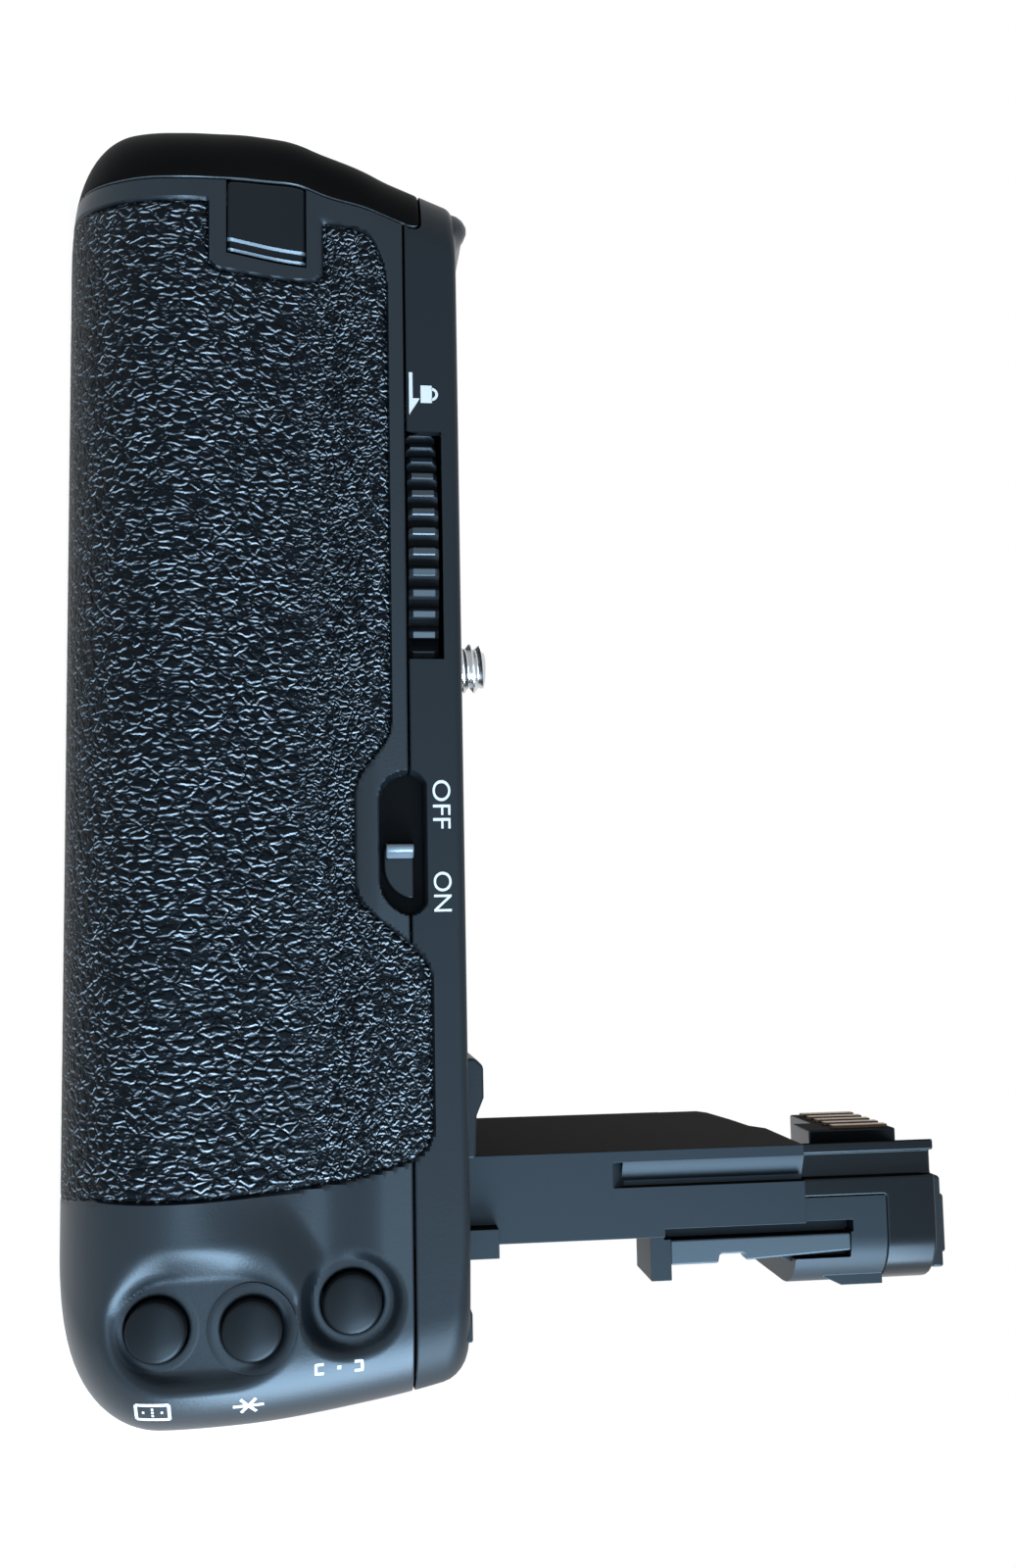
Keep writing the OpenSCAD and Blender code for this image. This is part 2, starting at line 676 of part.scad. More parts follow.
module lock_wheel() {
    color("#2b2e32") translate(wheel_c + [0, 0, wheel_z0]) difference() {
        linear_extrude(wheel_t) rotate(-90) polygon(rim_outline(rib_count, wheel_r, rib_h));
        translate([0, 0, -past]) linear_extrude(wheel_t + 2 * past) rotate(mesh_a)
            polygon(gear_outline(ring_teeth, PI * gear_m / 2 + backlash, ring_r - ring_tip,
                ring_r + tooth_root));
        rod([0, 0, -past], collar_r + run_gap, past + collar_h);
    }
}
module wheel_guide() {
    color("#303236") difference() {
        union() {
            rod(wheel_c + [0, 0, guide_z], wheel_r - rib_h, guide_t);
            rod(wheel_c + [0, 0, guide_z], collar_r, wheel_z0 + collar_h - 0.1 - guide_z);
        }
        rod(wheel_c + [0, 0, guide_z - past], collar_r - collar_w, cover_h + guide_t);
        guide_holes(screw_r + screw_fit, guide_z - past, guide_t + 2 * past);
        guide_holes(2 * screw_r + screw_fit, guide_z + guide_t / 2, guide_t);
        // Flat beside the rear wall
        block([-end_left, -wall_rear - past, guide_z - past],
            [end_right, shelf_y + seam_gap, guide_z + guide_t]);
    }
}
module guide_screws() {
    color("#8d9093") {
        guide_holes(screw_r, guide_z - 2.8, 2.8 + guide_t / 2);
        guide_holes(2 * screw_r, guide_z + guide_t / 2, guide_t / 2 - 0.1);
    }
}
// Stud as the outer cylinder of its thread, on a journal and a stepped foot
module clamp_screw() {
    tip = body_h + stud_h;
    color("#c9cbcd") {
        rod([0, 0, plate_z - circlip_t - 0.6], foot_r, circlip_t + thrust_t + 1);
        rod([0, 0, plate_z + thrust_t + 0.1], journal_r, body_h - plate_z - thrust_t - 0.1);
        rod([0, 0, body_h], stud_r, stud_h - thread_pitch / 2);
        translate([0, 0, tip - thread_pitch / 2])
            cylinder(r1 = stud_r, r2 = stud_r - thread_pitch / 2, h = thread_pitch / 2);
    }
}
module drive_pinion() {
    color("#7d8084") difference() {
        translate([0, 0, gear_z]) linear_extrude(gear_t) rotate(mesh_a)
            polygon(gear_outline(pinion_teeth, PI * gear_m / 2 - backlash, pinion_r - tooth_root,
                pinion_r + pinion_tip));
        rod([0, 0, gear_z - past], journal_r, gear_t + 2 * past);
    }
}
module thrust_plate() {
    color("#9a9da0") difference() {
        block([-thrust_l / 2, -thrust_w / 2, plate_z], [thrust_l / 2, thrust_w / 2, plate_z + thrust_t]);
        rod([0, 0, plate_z - past], foot_r + run_gap, thrust_t + 2 * past);
    }
}
module screw_circlip() {
    color("#5b5e61") difference() {
        rod([0, 0, plate_z - circlip_t - 0.1], circlip_r, circlip_t);
        rod([0, 0, plate_z - circlip_t - past], foot_r, circlip_t + 2 * past);
    }
}

slider_t = 1;
slider_y = shelf_y + stem_gap;
body_y = slider_y + slider_t + 0.3;
knob_x = switch_x + switch_travel / 2;
knob_h = 3.4;
stem_y1 = body_y + 3;
board_top = board_z + board_t;

module switch_knob() {
    floor_y = -wall_rear + switch_recess;
    z = switch_z;
    color("#24272b") {
        block([knob_x - knob_l / 2, floor_y - 1.1, z - knob_h / 2],
            [knob_x + knob_l / 2, floor_y - 0.1, z + knob_h / 2]);
        prism_y([[knob_x - knob_l / 2, z - knob_h / 2], [knob_x - knob_l / 2, z + knob_h / 2],
            [knob_x - knob_l / 2 + 1.8, z + knob_h / 2], [knob_x - knob_l / 2 + 1.8, z - knob_h / 2]],
            floor_y - 2.3, floor_y - 0.1);
        block([knob_x - stem_l / 2, floor_y - 0.5, z - stem_h / 2],
            [knob_x + stem_l / 2, stem_y1, z + stem_h / 2]);
    }
}
module switch_slider() {
    color("#33363a") difference() {
        block([knob_x - 4.5, slider_y, board_top + 0.3], [knob_x + 4.5, slider_y + slider_t, seam_z - 0.2]);
        block([knob_x - stem_l / 2, slider_y - past, switch_z - stem_h / 2],
            [knob_x + stem_l / 2, slider_y + 2 * past, switch_z + stem_h / 2]);
    }
}
module switch_body() {
    run = (switch_travel + stem_l) / 2 + 0.3;
    color("#45494d") difference() {
        block([switch_x - switch_half, body_y, board_top],
            [switch_x + switch_half, body_y + 5, seam_z - 0.1]);
        block([switch_x - run, body_y - past, switch_z - stem_h / 2 - stem_gap],
            [switch_x + run, stem_y1 + 0.4, seam_z]);
    }
}

button_flange = 1.1;
flange_t = 1;
flange_gap = 0.1;
mat_t = 1.2;
mat_y = shelf_y + flange_gap + flange_t + button_travel + 0.2;
dome_h = 0.6;
// Button with a rounded crown at top_y, a shank and an inner flange
module push_button(place, top_y) {
    base_y = shelf_y + flange_gap;
    crown = 0.9;
    translate([place.x, 0, place.y]) rotate([-90, 0, 0]) rotate_extrude() polygon(concat(
        [[0, top_y]],
        [for (i = [1:4]) [button_r - crown + crown * sin(22.5 * i), top_y + crown * (1 - cos(22.5 * i))]],
        [[button_r, base_y], [button_r + button_flange, base_y],
            [button_r + button_flange, base_y + flange_t],
        [0, base_y + flange_t]]));
}
module frame_button() {
    color("#202327") push_button(buttons[0], dish_y - 2);
}
module star_button() {
    color("#202327") push_button(buttons[1], dish_y - 2);
}
module focus_button() {
    color("#202327") push_button(buttons[2], focus_dish_y - 2);
}
mat_x0 = max(arm_x + arm_t + 0.6, bay_x0 + 1);
module button_mat() {
    color("#4d5054") {
        block([mat_x0, mat_y + dome_h, bay_z],
            [bay_x1 - 1, mat_y + dome_h + mat_t, buttons[2].y + button_r]);
        for (b = buttons)
            rod_y([b.x, mat_y, b.y], button_r - 1, dome_h + mat_t / 2);
    }
}
module button_board() {
    y = mat_y + dome_h + mat_t;
    color("#1f5c3a") block([mat_x0, y, bay_z], [bay_x1 - 1, y + board_t, buttons[2].y + button_r]);
}
module shutter_button() {
    flange = shutter_r + 0.9;
    color("#26292d") {
        translate([0, shutter_y, finger_z]) rotate([0, 90, 0]) rotate_extrude() polygon([
            [0, bay_x1 - flange_gap - flange_t], [flange, bay_x1 - flange_gap - flange_t],
            [flange, bay_x1 - flange_gap], [shutter_r, bay_x1 - flange_gap],
            [shutter_r, end_right + 1.2], [shutter_r - 0.5, end_right + 1.7], [0, end_right + 1.5]]);
    }
}
// Switch behind the shutter button, on a bracket from the bay's floor
module shutter_switch() {
    tip = bay_x1 - flange_gap - flange_t - shutter_travel - 0.2;
    color("#3c4045") {
        block([tip - 6, shutter_y - 4, bay_z], [tip - 1, shutter_y + 4, finger_z + 4]);
        rod_x([tip - 2, shutter_y, finger_z], 1.2, 2);
    }
}
module shutter_collar() {
    color("#3b3e42") difference() {
        rod_x([collar_x, shutter_y, finger_z], shutter_r + shutter_rim, collar_t);
        rod_x([collar_x - past, shutter_y, finger_z], shutter_r + button_gap, collar_t + 2 * past);
    }
}
module control_dial() {
    color("#26292d") translate([dial_x, dial_y + dial_w / 2, finger_z]) rotate([90, 0, 0]) difference() {
        linear_extrude(dial_w) polygon(rim_outline(dial_ribs, dial_r, 0.6));
        rod([0, 0, -past], axle_r + run_gap, dial_w + 2 * past);
    }
}
module dial_axle() {
    reach = dial_w / 2 + dial_gap + lug_t;
    color("#a5a8ab") rod_y([dial_x, dial_y - reach, finger_z], axle_r, 2 * reach);
}

contact_rows = [-9, -3, 3, 9];
contact_w = 24;
contact_z = [chamber_z + 5, chamber_top - 4];
blade_w = 2;
blade_h = 8;
tray_side = pack_w / 2 + pack_fit;
pack_edge = 1.5;
// Fixed contact block in the wall between the chamber and the button bay
module contact_body(trim) {
    block([chamber_x1 - (trim > 0 ? 0 : past), -contact_w / 2, contact_z[0]],
        [bay_x0, contact_w / 2, contact_z[1]]);
}
// One blade through the contact block at each row
module contact_row(x0, x1) {
    mid = (contact_z[0] + contact_z[1]) / 2;
    for (y = contact_rows)
        block([x0, y - blade_w / 2, mid - blade_h / 2], [x1, y + blade_w / 2, mid + blade_h / 2]);
}
module contact_block() {
    color("#2d2f33") difference() {
        contact_body(1);
        contact_row(chamber_x1 - past, bay_x0 + past);
    }
}
module contact_blades() {
    color("#c8a24a") contact_row(chamber_x1 - tray_gap, bay_x0 + 0.5);
}
module magazine_tray() {
    color("#303338") difference() {
        block([tray_x0, -tray_side - tray_wall, tray_z],
            [tray_x1, tray_side + tray_wall, pack_z + pack_h * 0.7]);
        block([pack_x0, -tray_side, pack_z], [pack_x0 + pack_l + pack_fit, tray_side, chamber_top]);
        block([pack_x0 + pack_l + 2 * pack_fit, -tray_side, pack_z],
            [tray_x1 - tray_wall, tray_side, chamber_top]);
        contact_row(tray_x1 - tray_wall - past, tray_x1 + past);
    }
}
module tray_contacts() {
    color("#c8a24a") contact_row(tray_x1 - tray_wall, tray_x1 - 0.1);
}
module battery_packs() {
    color("#3d4146") for (x = [pack_x0 + pack_fit / 2, pack_x0 + pack_l + 2.5 * pack_fit])
        prism_x([[-pack_w / 2, pack_z], [pack_w / 2, pack_z], [pack_w / 2, pack_z + pack_h - pack_edge],
            [pack_w / 2 - pack_edge, pack_z + pack_h], [pack_edge - pack_w / 2, pack_z + pack_h],
            [-pack_w / 2, pack_z + pack_h - pack_edge]], x, x + pack_l);
}
module magazine_cap() {
    color("#16181b") {
        difference() {
            intersection() {
                body_form();
                cap_zone(0);
            }
            block([tray_x0, -tray_side - tray_wall, tray_z],
                [0, tray_side + tray_wall, pack_z + pack_h + tray_gap]);
            latch_frame() block([-latch_l / 2 - 0.4, -latch_w / 2 - 0.3, -latch_t - 1],
                [latch_l, latch_w / 2 + 0.3, latch_t]);
        }
        latch_frame() difference() {
            for (s = [-1, 1])
                translate([0, s * (latch_w / 2 + 0.25 + ear_t / 2), 0])
                    block([-latch_l / 2 - 2.5, -ear_t / 2, -latch_t],
                        [latch_hinge + latch_t / 2, ear_t / 2, -0.3]);
            latch_axis(latch_pin_r);
        }
    }
}
// Hinge line of the latch, in the latch's frame
module latch_axis(r) {
    reach = latch_w / 2 + 0.25 + ear_t;
    translate([latch_hinge, reach, -latch_t / 2]) rotate([90, 0, 0]) cylinder(r = r, h = 2 * reach);
}
module latch_lever() {
    color("#1c1f23") latch_frame() difference() {
        union() {
            translate([latch_hinge, latch_w / 2, -latch_t / 2]) rotate([90, 0, 0])
                cylinder(r = latch_t / 2, h = latch_w);
            block([latch_hinge, -latch_w / 2, -latch_t], [latch_l / 2, latch_w / 2, 0]);
            for (u = [latch_l / 2 - 2.3, latch_l / 2 - 0.5])
                block([u, -latch_w / 2 + 0.3, -past], [u + 0.5, latch_w / 2 - 0.3, 0.35]);
        }
        latch_axis(latch_pin_r + run_gap);
    }
}
module latch_pin() {
    color("#9b9ea1") latch_frame() latch_axis(latch_pin_r);
}

arm_y0 = -arm_y;
arm_y1 = -arm_y + arm_w;
arm_x1 = arm_x + arm_t;
arm_z1 = body_h + arm_h;
nose_z = arm_z1 - 2.4;
nose_z0 = nose_z - nose_l;
nose_step_z = nose_z - 6;
nose_x1 = arm_x + nose_t;
duct_z1 = nose_z0 - 12;
nose_cut_x = arm_x + 6.2;
rail_x0 = arm_x1 + 0.6;
rail_z0 = nose_z0 - 16.6;
rail_foot = rail_z0 + 0.8;
rail_w = 2.8;
rail_z1 = nose_step_z - 4.4;
// Plan of the arm's nose, with one round edge
function nose_plan(y1) = concat(
    [[arm_x, y1], [arm_x, arm_y0 + 1]],
    arc([nose_x1 - nose_r, arm_y0 + 1 + nose_r], nose_r, 270, 360, 8),
    [[nose_x1, y1]]);

module arm_frame() {
    color("#33383d") difference() {
        union() {
            block([arm_x, arm_y0, deck_z], [arm_x1, arm_y1, nose_z0]);
            translate([0, 0, roof_z - 1.8])
                block([arm_x - 1.6, arm_y0 - 1.6, 0], [arm_x1 + 1.6, arm_y1 + 1.6, 1.7]);
            // Root lug beside the platform
            block([arm_x1 - 2.2, arm_y0 - 2.6, body_h], [arm_x1 + 1, arm_y0 + 3, body_h + 3.7]);
            // Stepped end under the nose
            intersection() {
                translate([0, 0, nose_z0 - past]) linear_extrude(nose_step_z - nose_z0 + past)
                    polygon(nose_plan(arm_y1));
                block([nose_cut_x, arm_y0, nose_z0 - past], [nose_x1, arm_y1, nose_step_z]);
            }
            // Shelf behind the rail, with a sloping web
            prism_y([[arm_x1 - past, rail_z0 - 1.6], [arm_x1 + 5, rail_z0 - 1.6], [arm_x1 + 5, rail_z0 + 1],
                [arm_x1 + 2.8, rail_z0 + 1.6], [arm_x1 + 2.8, rail_z0 + 13], [nose_x1, nose_step_z - 5],
                [nose_x1, nose_step_z], [arm_x1 - past, nose_step_z]], arm_y0 + 3.4, arm_y0 + 9);
            block([arm_x1 - past, arm_y0 + 0.8, rail_z0 - 1.6], [arm_x1 + 5, arm_y0 + 4, rail_foot]);
        }
        // Ribbon duct, open to the front
        block([arm_x + arm_wall, arm_y0 + arm_wall, deck_z + arm_wall],
            [arm_x1 - arm_wall, arm_y1 + past, duct_z1]);
        // Key groove in the rear face
        prism_x([[arm_y0 - past, nose_z0 - 22.5], [arm_y0, nose_z0 - 22.5], [arm_y0 + 1.4, nose_z0 - 21],
            [arm_y0 + 1.4, nose_z0 + past], [arm_y0 - past, nose_z0 + past]], arm_x + 1.3, arm_x + 4.1);
        // Slot beside the rail
        block([arm_x1 - 0.9, arm_y0 - past, rail_z0], [rail_x0 - 0.2, arm_y0 + 3.4, rail_z1 + 0.3]);
        block([rail_x0 - 0.4, arm_y0 - past, rail_foot], [rail_x0 + rail_w, arm_y0 + 3.4, rail_z1]);
        // Chamfer of the front corner
        prism_x([[arm_y1 + past, nose_z0 - 10], [arm_y1 - 22, nose_z0 + past],
            [arm_y1 + past, nose_z0 + past]],
            arm_x - past, nose_cut_x);
    }
}
// Lid of the ribbon duct
module arm_cover() {
    color("#33383d") block([arm_x + arm_wall, arm_y1 - arm_wall, deck_z + arm_wall],
        [arm_x1 - arm_wall, arm_y1, duct_z1]);
}
module arm_rail() {
    color("#5b656d") prism_y([[rail_x0, rail_foot], [rail_x0 + rail_w, rail_foot], [rail_x0 + rail_w, rail_z0 + 6.4],
        [rail_x0 + 1.8, rail_z0 + 6.6], [rail_x0 + 1.8, rail_z0 + 9.4], [rail_x0 + rail_w - 0.2, rail_z0 + 9.7],
        [rail_x0 + 2, rail_z1], [rail_x0, rail_z1]], arm_y0 + 1.2, arm_y0 + 3.4);
}
module arm_nose() {
    color("#1d2024") difference() {
        translate([0, 0, nose_z0]) linear_extrude(nose_l) polygon(nose_plan(arm_y1 - 1));
        block([nose_cut_x, arm_y0 - past, nose_z0 - past], [nose_x1 + past, arm_y1 + past, nose_step_z]);
        // Key groove carried on from the frame
        block([arm_x + 1.3, arm_y0 - past, nose_z0 - past], [arm_x + 4.1, arm_y0 + 2.2, nose_z + past]);
        terminal_slots(past);
    }
}
// Slots for the contacts in the nose's side
module terminal_slots(over) {
    for (i = [0:4])
        translate([0, arm_y0 + 13 + 3 * i, 0])
            block([arm_x - over, 0, nose_z - 8], [arm_x + 1.2, 1.4, nose_z - 1]);
}
module arm_contacts() {
    color("#8a6a3c") for (i = [0:4])
        translate([0, arm_y0 + 13 + 3 * i, 0])
            block([arm_x - 0.3, 0, nose_z - 8], [arm_x + 1.2, 1.4, nose_z - 1]);
}
module arm_terminal() {
    color("#34393e") {
        block([arm_x + 4.6, arm_y0 + 3, nose_z], [nose_x1 - 1.6, arm_y1 - 6, nose_z + 1.4]);
        block([arm_x + 7, arm_y0 + 4.4, nose_z], [nose_x1 - 3, arm_y1 - 8, arm_z1]);
    }
}
module arm_ribbon() {
    color("#b07a2a") block([arm_x + arm_wall, arm_y0 + arm_wall + 6, deck_z + arm_wall],
        [arm_x + arm_wall + 0.4, arm_y0 + arm_wall + 18, duct_z1]);
}

main_housing();
front_housing();
top_cover();
rear_grip_cover();
front_grip_cover();
housing_screws();
base_plate();
base_screws();
tripod_bush();
main_board();
lock_wheel();
wheel_guide();
guide_screws();
clamp_screw();
drive_pinion();
thrust_plate();
screw_circlip();
switch_knob();
switch_slider();
switch_body();
frame_button();
star_button();
focus_button();
button_mat();
button_board();
shutter_button();
shutter_collar();
shutter_switch();
control_dial();
dial_axle();
magazine_tray();
magazine_cap();
battery_packs();
tray_contacts();
latch_lever();
latch_pin();
contact_block();
contact_blades();
arm_frame();
arm_cover();
arm_rail();
arm_nose();
arm_terminal();
arm_contacts();
arm_ribbon();
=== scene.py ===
"""Looks of a camera battery grip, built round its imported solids.

Lengths in the classes are millimetres in the part's own frame: X runs along the grip to the
button end, Y from the rear wall to the front, Z up to the camera.
"""

from __future__ import annotations

import json
import logging
import math
from dataclasses import dataclass
from enum import Enum
from typing import Any, Callable, Iterable, Sequence

import bpy
import numpy as np
from mathutils import Matrix, Vector


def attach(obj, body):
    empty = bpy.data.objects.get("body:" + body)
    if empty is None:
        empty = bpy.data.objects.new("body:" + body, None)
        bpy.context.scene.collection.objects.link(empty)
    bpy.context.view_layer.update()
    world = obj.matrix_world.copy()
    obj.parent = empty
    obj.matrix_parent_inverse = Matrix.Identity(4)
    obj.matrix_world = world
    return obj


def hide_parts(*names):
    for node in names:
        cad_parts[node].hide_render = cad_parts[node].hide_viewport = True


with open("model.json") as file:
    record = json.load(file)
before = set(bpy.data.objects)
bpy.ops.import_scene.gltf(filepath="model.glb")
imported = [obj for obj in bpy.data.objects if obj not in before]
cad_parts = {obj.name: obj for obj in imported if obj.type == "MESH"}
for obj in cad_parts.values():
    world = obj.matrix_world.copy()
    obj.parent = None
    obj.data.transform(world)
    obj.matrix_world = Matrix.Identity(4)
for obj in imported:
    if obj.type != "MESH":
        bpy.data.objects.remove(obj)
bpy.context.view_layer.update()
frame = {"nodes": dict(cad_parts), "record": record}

MM = 0.001
LOG = logging.getLogger("battery_grip")
Array = np.ndarray
Pair = tuple[float, float]
Triple = tuple[float, float, float]
Quad = tuple[float, float, float, float]
Piece = bpy.types.Object
Socket = bpy.types.NodeSocket


class Body(str, Enum):
    """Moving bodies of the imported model."""

    GRIP = "grip_body"
    WHEEL = "wheel"
    STUD = "stud"
    SWITCH = "power_switch"
    FRAME_KEY = "frame_key"
    STAR_KEY = "star_key"
    FOCUS_KEY = "focus_key"
    SHUTTER = "shutter_key"
    DIAL = "dial"
    MAGAZINE = "magazine"
    LATCH = "latch"


# Finishes


class NodeGraph:
    """Small helper that adds shader nodes and joins them."""

    def __init__(self, name: str) -> None:
        """Starts a material of that name with one principled shader."""
        self.material = bpy.data.materials.new(name)
        self.material.use_nodes = True
        self.nodes = self.material.node_tree.nodes
        self.links = self.material.node_tree.links
        self.shader = self.nodes["Principled BSDF"]

    def add(self, kind: str, inputs: dict[Any, Any] | None = None, **settings: Any) -> bpy.types.Node:
        """Adds a node.

        Args:
            kind: Blender's class name of the node, after its common start.
            inputs: Values or output sockets for its inputs, by name or number.
            settings: Attributes of the node.

        Returns:
            The new node.
        """
        node = self.nodes.new(f"ShaderNode{kind}")
        for key, value in settings.items():
            setattr(node, key, value)
        for key, value in (inputs or {}).items():
            if isinstance(value, Socket):
                self.links.new(value, node.inputs[key])
            else:
                node.inputs[key].default_value = value
        return node

    def tune(self, values: dict[str, Any]) -> None:
        """Sets inputs of the shader by their names."""
        for key, value in values.items():
            self.shader.inputs[key].default_value = value

    def coordinates(self, scale: Triple, shift: Triple = (0.0, 0.0, 0.0)) -> Socket:
        """Gives object coordinates, stretched by a scale and then shifted."""
        place = self.add("TexCoord").outputs["Object"]
        inputs = {"Vector": place, "Scale": scale, "Location": shift}
        return self.add("Mapping", inputs).outputs["Vector"]

    def noise(self, size_mm: float, detail: float, scale: float = 1.0) -> Socket:
        """Gives a cloudy height, with clouds of a size over a scale."""
        unit = 1.0 / (size_mm * MM)
        inputs = {"Vector": self.coordinates((unit, unit, unit)), "Scale": scale, "Detail": detail}
        return self.add("TexNoise", inputs).outputs["Fac"]

    def bump(self, height: Socket, depth_mm: float, strength: float,
             under: Socket | None = None) -> Socket:
        """Turns a height into a normal.

        Args:
            height: Socket with a height from 0 to 1.
            depth_mm: Real depth of a height of 1.
            strength: Share of the effect.
            under: Normal of a coarser relief below this one.

        Returns:
            The normal's socket.
        """
        inputs = {"Height": height, "Distance": depth_mm * MM, "Strength": strength}
        if under is not None:
            inputs["Normal"] = under
        return self.add("Bump", inputs).outputs["Normal"]


@dataclass(frozen=True)
class Finish:
    """A plain moulded or metal surface with a fine grain of some size and depth."""

    name: str
    colour: Triple
    roughness: float
    metallic: float = 0.0
    specular: float = 0.5
    grain_mm: Pair = (0.0, 0.0)
    # Specular tint: a painted cool reflection of the window light, white (PLAIN) for metal.
    painted_reflection_tint: Triple = (0.62, 0.82, 1.0)

    def material(self) -> bpy.types.Material:
        """Makes the material once and returns it."""
        made = bpy.data.materials.get(f"look_{self.name}")
        if made is None:
            graph = NodeGraph(f"look_{self.name}")
            self.paint(graph)
            made = graph.material
        return made

    def paint(self, graph: NodeGraph) -> None:
        """Sets the shader's sockets and adds the grain."""
        # The specular tint paints a cool colour into every reflection.
        graph.tune({"Base Color": (*self.colour, 1.0), "Roughness": self.roughness, "Metallic": self.metallic,
                    "Specular IOR Level": self.specular, "Specular Tint": (*self.painted_reflection_tint, 1.0)})
        size, depth = self.grain_mm
        if size:
            normal = graph.bump(graph.noise(size, 3.0), depth, 1.0)
            graph.links.new(normal, graph.shader.inputs["Normal"])


@dataclass(frozen=True)
class Leatherette(Finish):
    """Pebbled sheet: rounded scales with a painted highlight on their edges, finer in the thumb valley."""

    cell_mm: float = 0.95
    stretch: float = 1.9
    fine_mm: float = 0.72
    valley_mm: Pair = (25.0, 28.5)
    relief_mm: float = 0.20
    patch_mm: float = 1.1
    pore_depth_mm: float = 0.05
    # Colour of the painted highlight on the scale edges that face the light.
    painted_highlight: Triple = (0.48, 0.58, 0.68)

    def scales(self, graph: NodeGraph, shift_mm: float, cell_mm: float, stretch: float) -> Socket:
        """Height of the scales.

        Args:
            graph: The material's graph.
            shift_mm: How far along X the pattern is read.
            cell_mm: Mean size of a scale.
            stretch: Length of a scale along Z over its width.

        Returns:
            Socket with a height from 0 to 1.
        """
        unit = 1.0 / (cell_mm * MM)
        place = graph.coordinates((unit, unit, unit / stretch), (shift_mm / cell_mm, 0.0, 0.0))
        sway = graph.add("TexNoise", {"Vector": place, "Scale": 0.75, "Detail": 3.0}).outputs["Color"]
        bent = graph.add("VectorMath", {0: sway, 1: (1.5, 1.5, 1.5), 2: place},
                         operation="MULTIPLY_ADD").outputs["Vector"]
        edge = graph.add("TexVoronoi", {"Vector": bent, "Scale": 1.0}, feature="DISTANCE_TO_EDGE")
        return graph.add("MapRange", {"Value": edge.outputs["Distance"], "From Max": 0.26},
                         interpolation_type="SMOOTHSTEP").outputs["Result"]

    def height(self, graph: NodeGraph, shift_mm: float, valley: Socket) -> Socket:
        """Height of the whole sheet, read at a shift along X."""
        wide = self.scales(graph, shift_mm, self.cell_mm, self.stretch)
        fine = self.scales(graph, shift_mm, self.fine_mm, 1.15)
        return graph.add("Mix", {0: valley, 2: wide, 3: fine}).outputs[0]

    def paint(self, graph: NodeGraph) -> None:
        """Adds the scales, a painted highlight on the scale edges that face the button end, where the light falls, and
        a fine pore grain.
        """
        super().paint(graph)
        place = graph.add("TexCoord").outputs["Object"]
        up = graph.add("SeparateXYZ", {0: place}).outputs["Z"]
        valley = graph.add("MapRange", {
            "Value": up, "From Min": self.valley_mm[0] * MM, "From Max": self.valley_mm[1] * MM}).outputs["Result"]
        here, beside = self.height(graph, 0.0, valley), self.height(graph, 0.13, valley)
        # Painted highlight: slopes that face the button end, toward the light, turn lighter, broken up in patches.
        fall = graph.add("Math", {0: here, 1: beside}, operation="SUBTRACT").outputs[0]
        patch = graph.noise(self.patch_mm, 2.0)
        broken = graph.add("MapRange", {"Value": patch, "From Min": 0.36, "From Max": 0.62}).outputs["Result"]
        lit_slope = graph.add("MapRange", {
            "Value": fall, "From Min": 0.12, "From Max": 0.62, "To Max": 0.9}).outputs["Result"]
        share = graph.add("Math", {0: lit_slope, 1: broken}, operation="MULTIPLY").outputs[0]
        tone = graph.add("Mix", {0: share, 6: (*self.colour, 1.0), 7: (*self.painted_highlight, 1.0)},
                         data_type="RGBA").outputs[2]
        graph.links.new(tone, graph.shader.inputs["Base Color"])
        pores = graph.noise(self.patch_mm, 2.0, 7.0)
        coarse = graph.bump(here, self.relief_mm, 1.0)
        graph.links.new(graph.bump(pores, self.pore_depth_mm, 1.0, coarse), graph.shader.inputs["Normal"])


PLAIN = (1.0, 1.0, 1.0)
CASING = Finish("casing_plastic", (0.0040, 0.0060, 0.0085), 0.40, specular=0.47, grain_mm=(0.32, 0.016))
CAP = Finish("cap_plastic", (0.0036, 0.0033, 0.0032), 0.55, specular=0.03, grain_mm=(0.32, 0.012))
# Painted highlight: a lighter colour for the cap's seam rounding where it faces the button end and the light.
CAP_EDGE_HIGHLIGHT = Finish("cap_edge_painted_highlight", (0.05, 0.06, 0.07), 0.3, specular=0.6)
PLATFORM = Finish("platform_plastic", (0.0055, 0.0075, 0.0095), 0.5, specular=0.28, grain_mm=(0.32, 0.014))
CONTROL = Finish("control_plastic", (0.012, 0.015, 0.018), 0.36, specular=0.35, grain_mm=(0.2, 0.002))
BUTTON = Finish("button_plastic", (0.0045, 0.0055, 0.0065), 0.36, specular=0.18)
ARM = Finish("arm_plastic", (0.009, 0.0135, 0.018), 0.46, specular=0.3, grain_mm=(0.14, 0.005))
ARM_DARK = Finish("arm_dark_plastic", (0.0065, 0.008, 0.010), 0.34, specular=0.34, grain_mm=(0.14, 0.002))
NOSE = Finish("nose_plastic", (0.0026, 0.0032, 0.0040), 0.26, specular=0.26)
# Painted shade: a dark, matte colour for the arm's faces that turn away from the light.
ARM_SHADED_SIDE = Finish("arm_side_painted_shade", (0.0042, 0.0030, 0.0026), 0.8, specular=0.02)
RAIL = Finish("rail_plastic", (0.045, 0.062, 0.076), 0.42, specular=0.45, grain_mm=(0.14, 0.003))
WHEEL = Finish("wheel_plastic", (0.016, 0.021, 0.026), 0.28, specular=0.75)
KNOB = Finish("knob_plastic", (0.0040, 0.0050, 0.0060), 0.30, specular=0.25)
LATCH = Finish("latch_plastic", (0.0030, 0.0040, 0.0055), 0.34, specular=0.24)
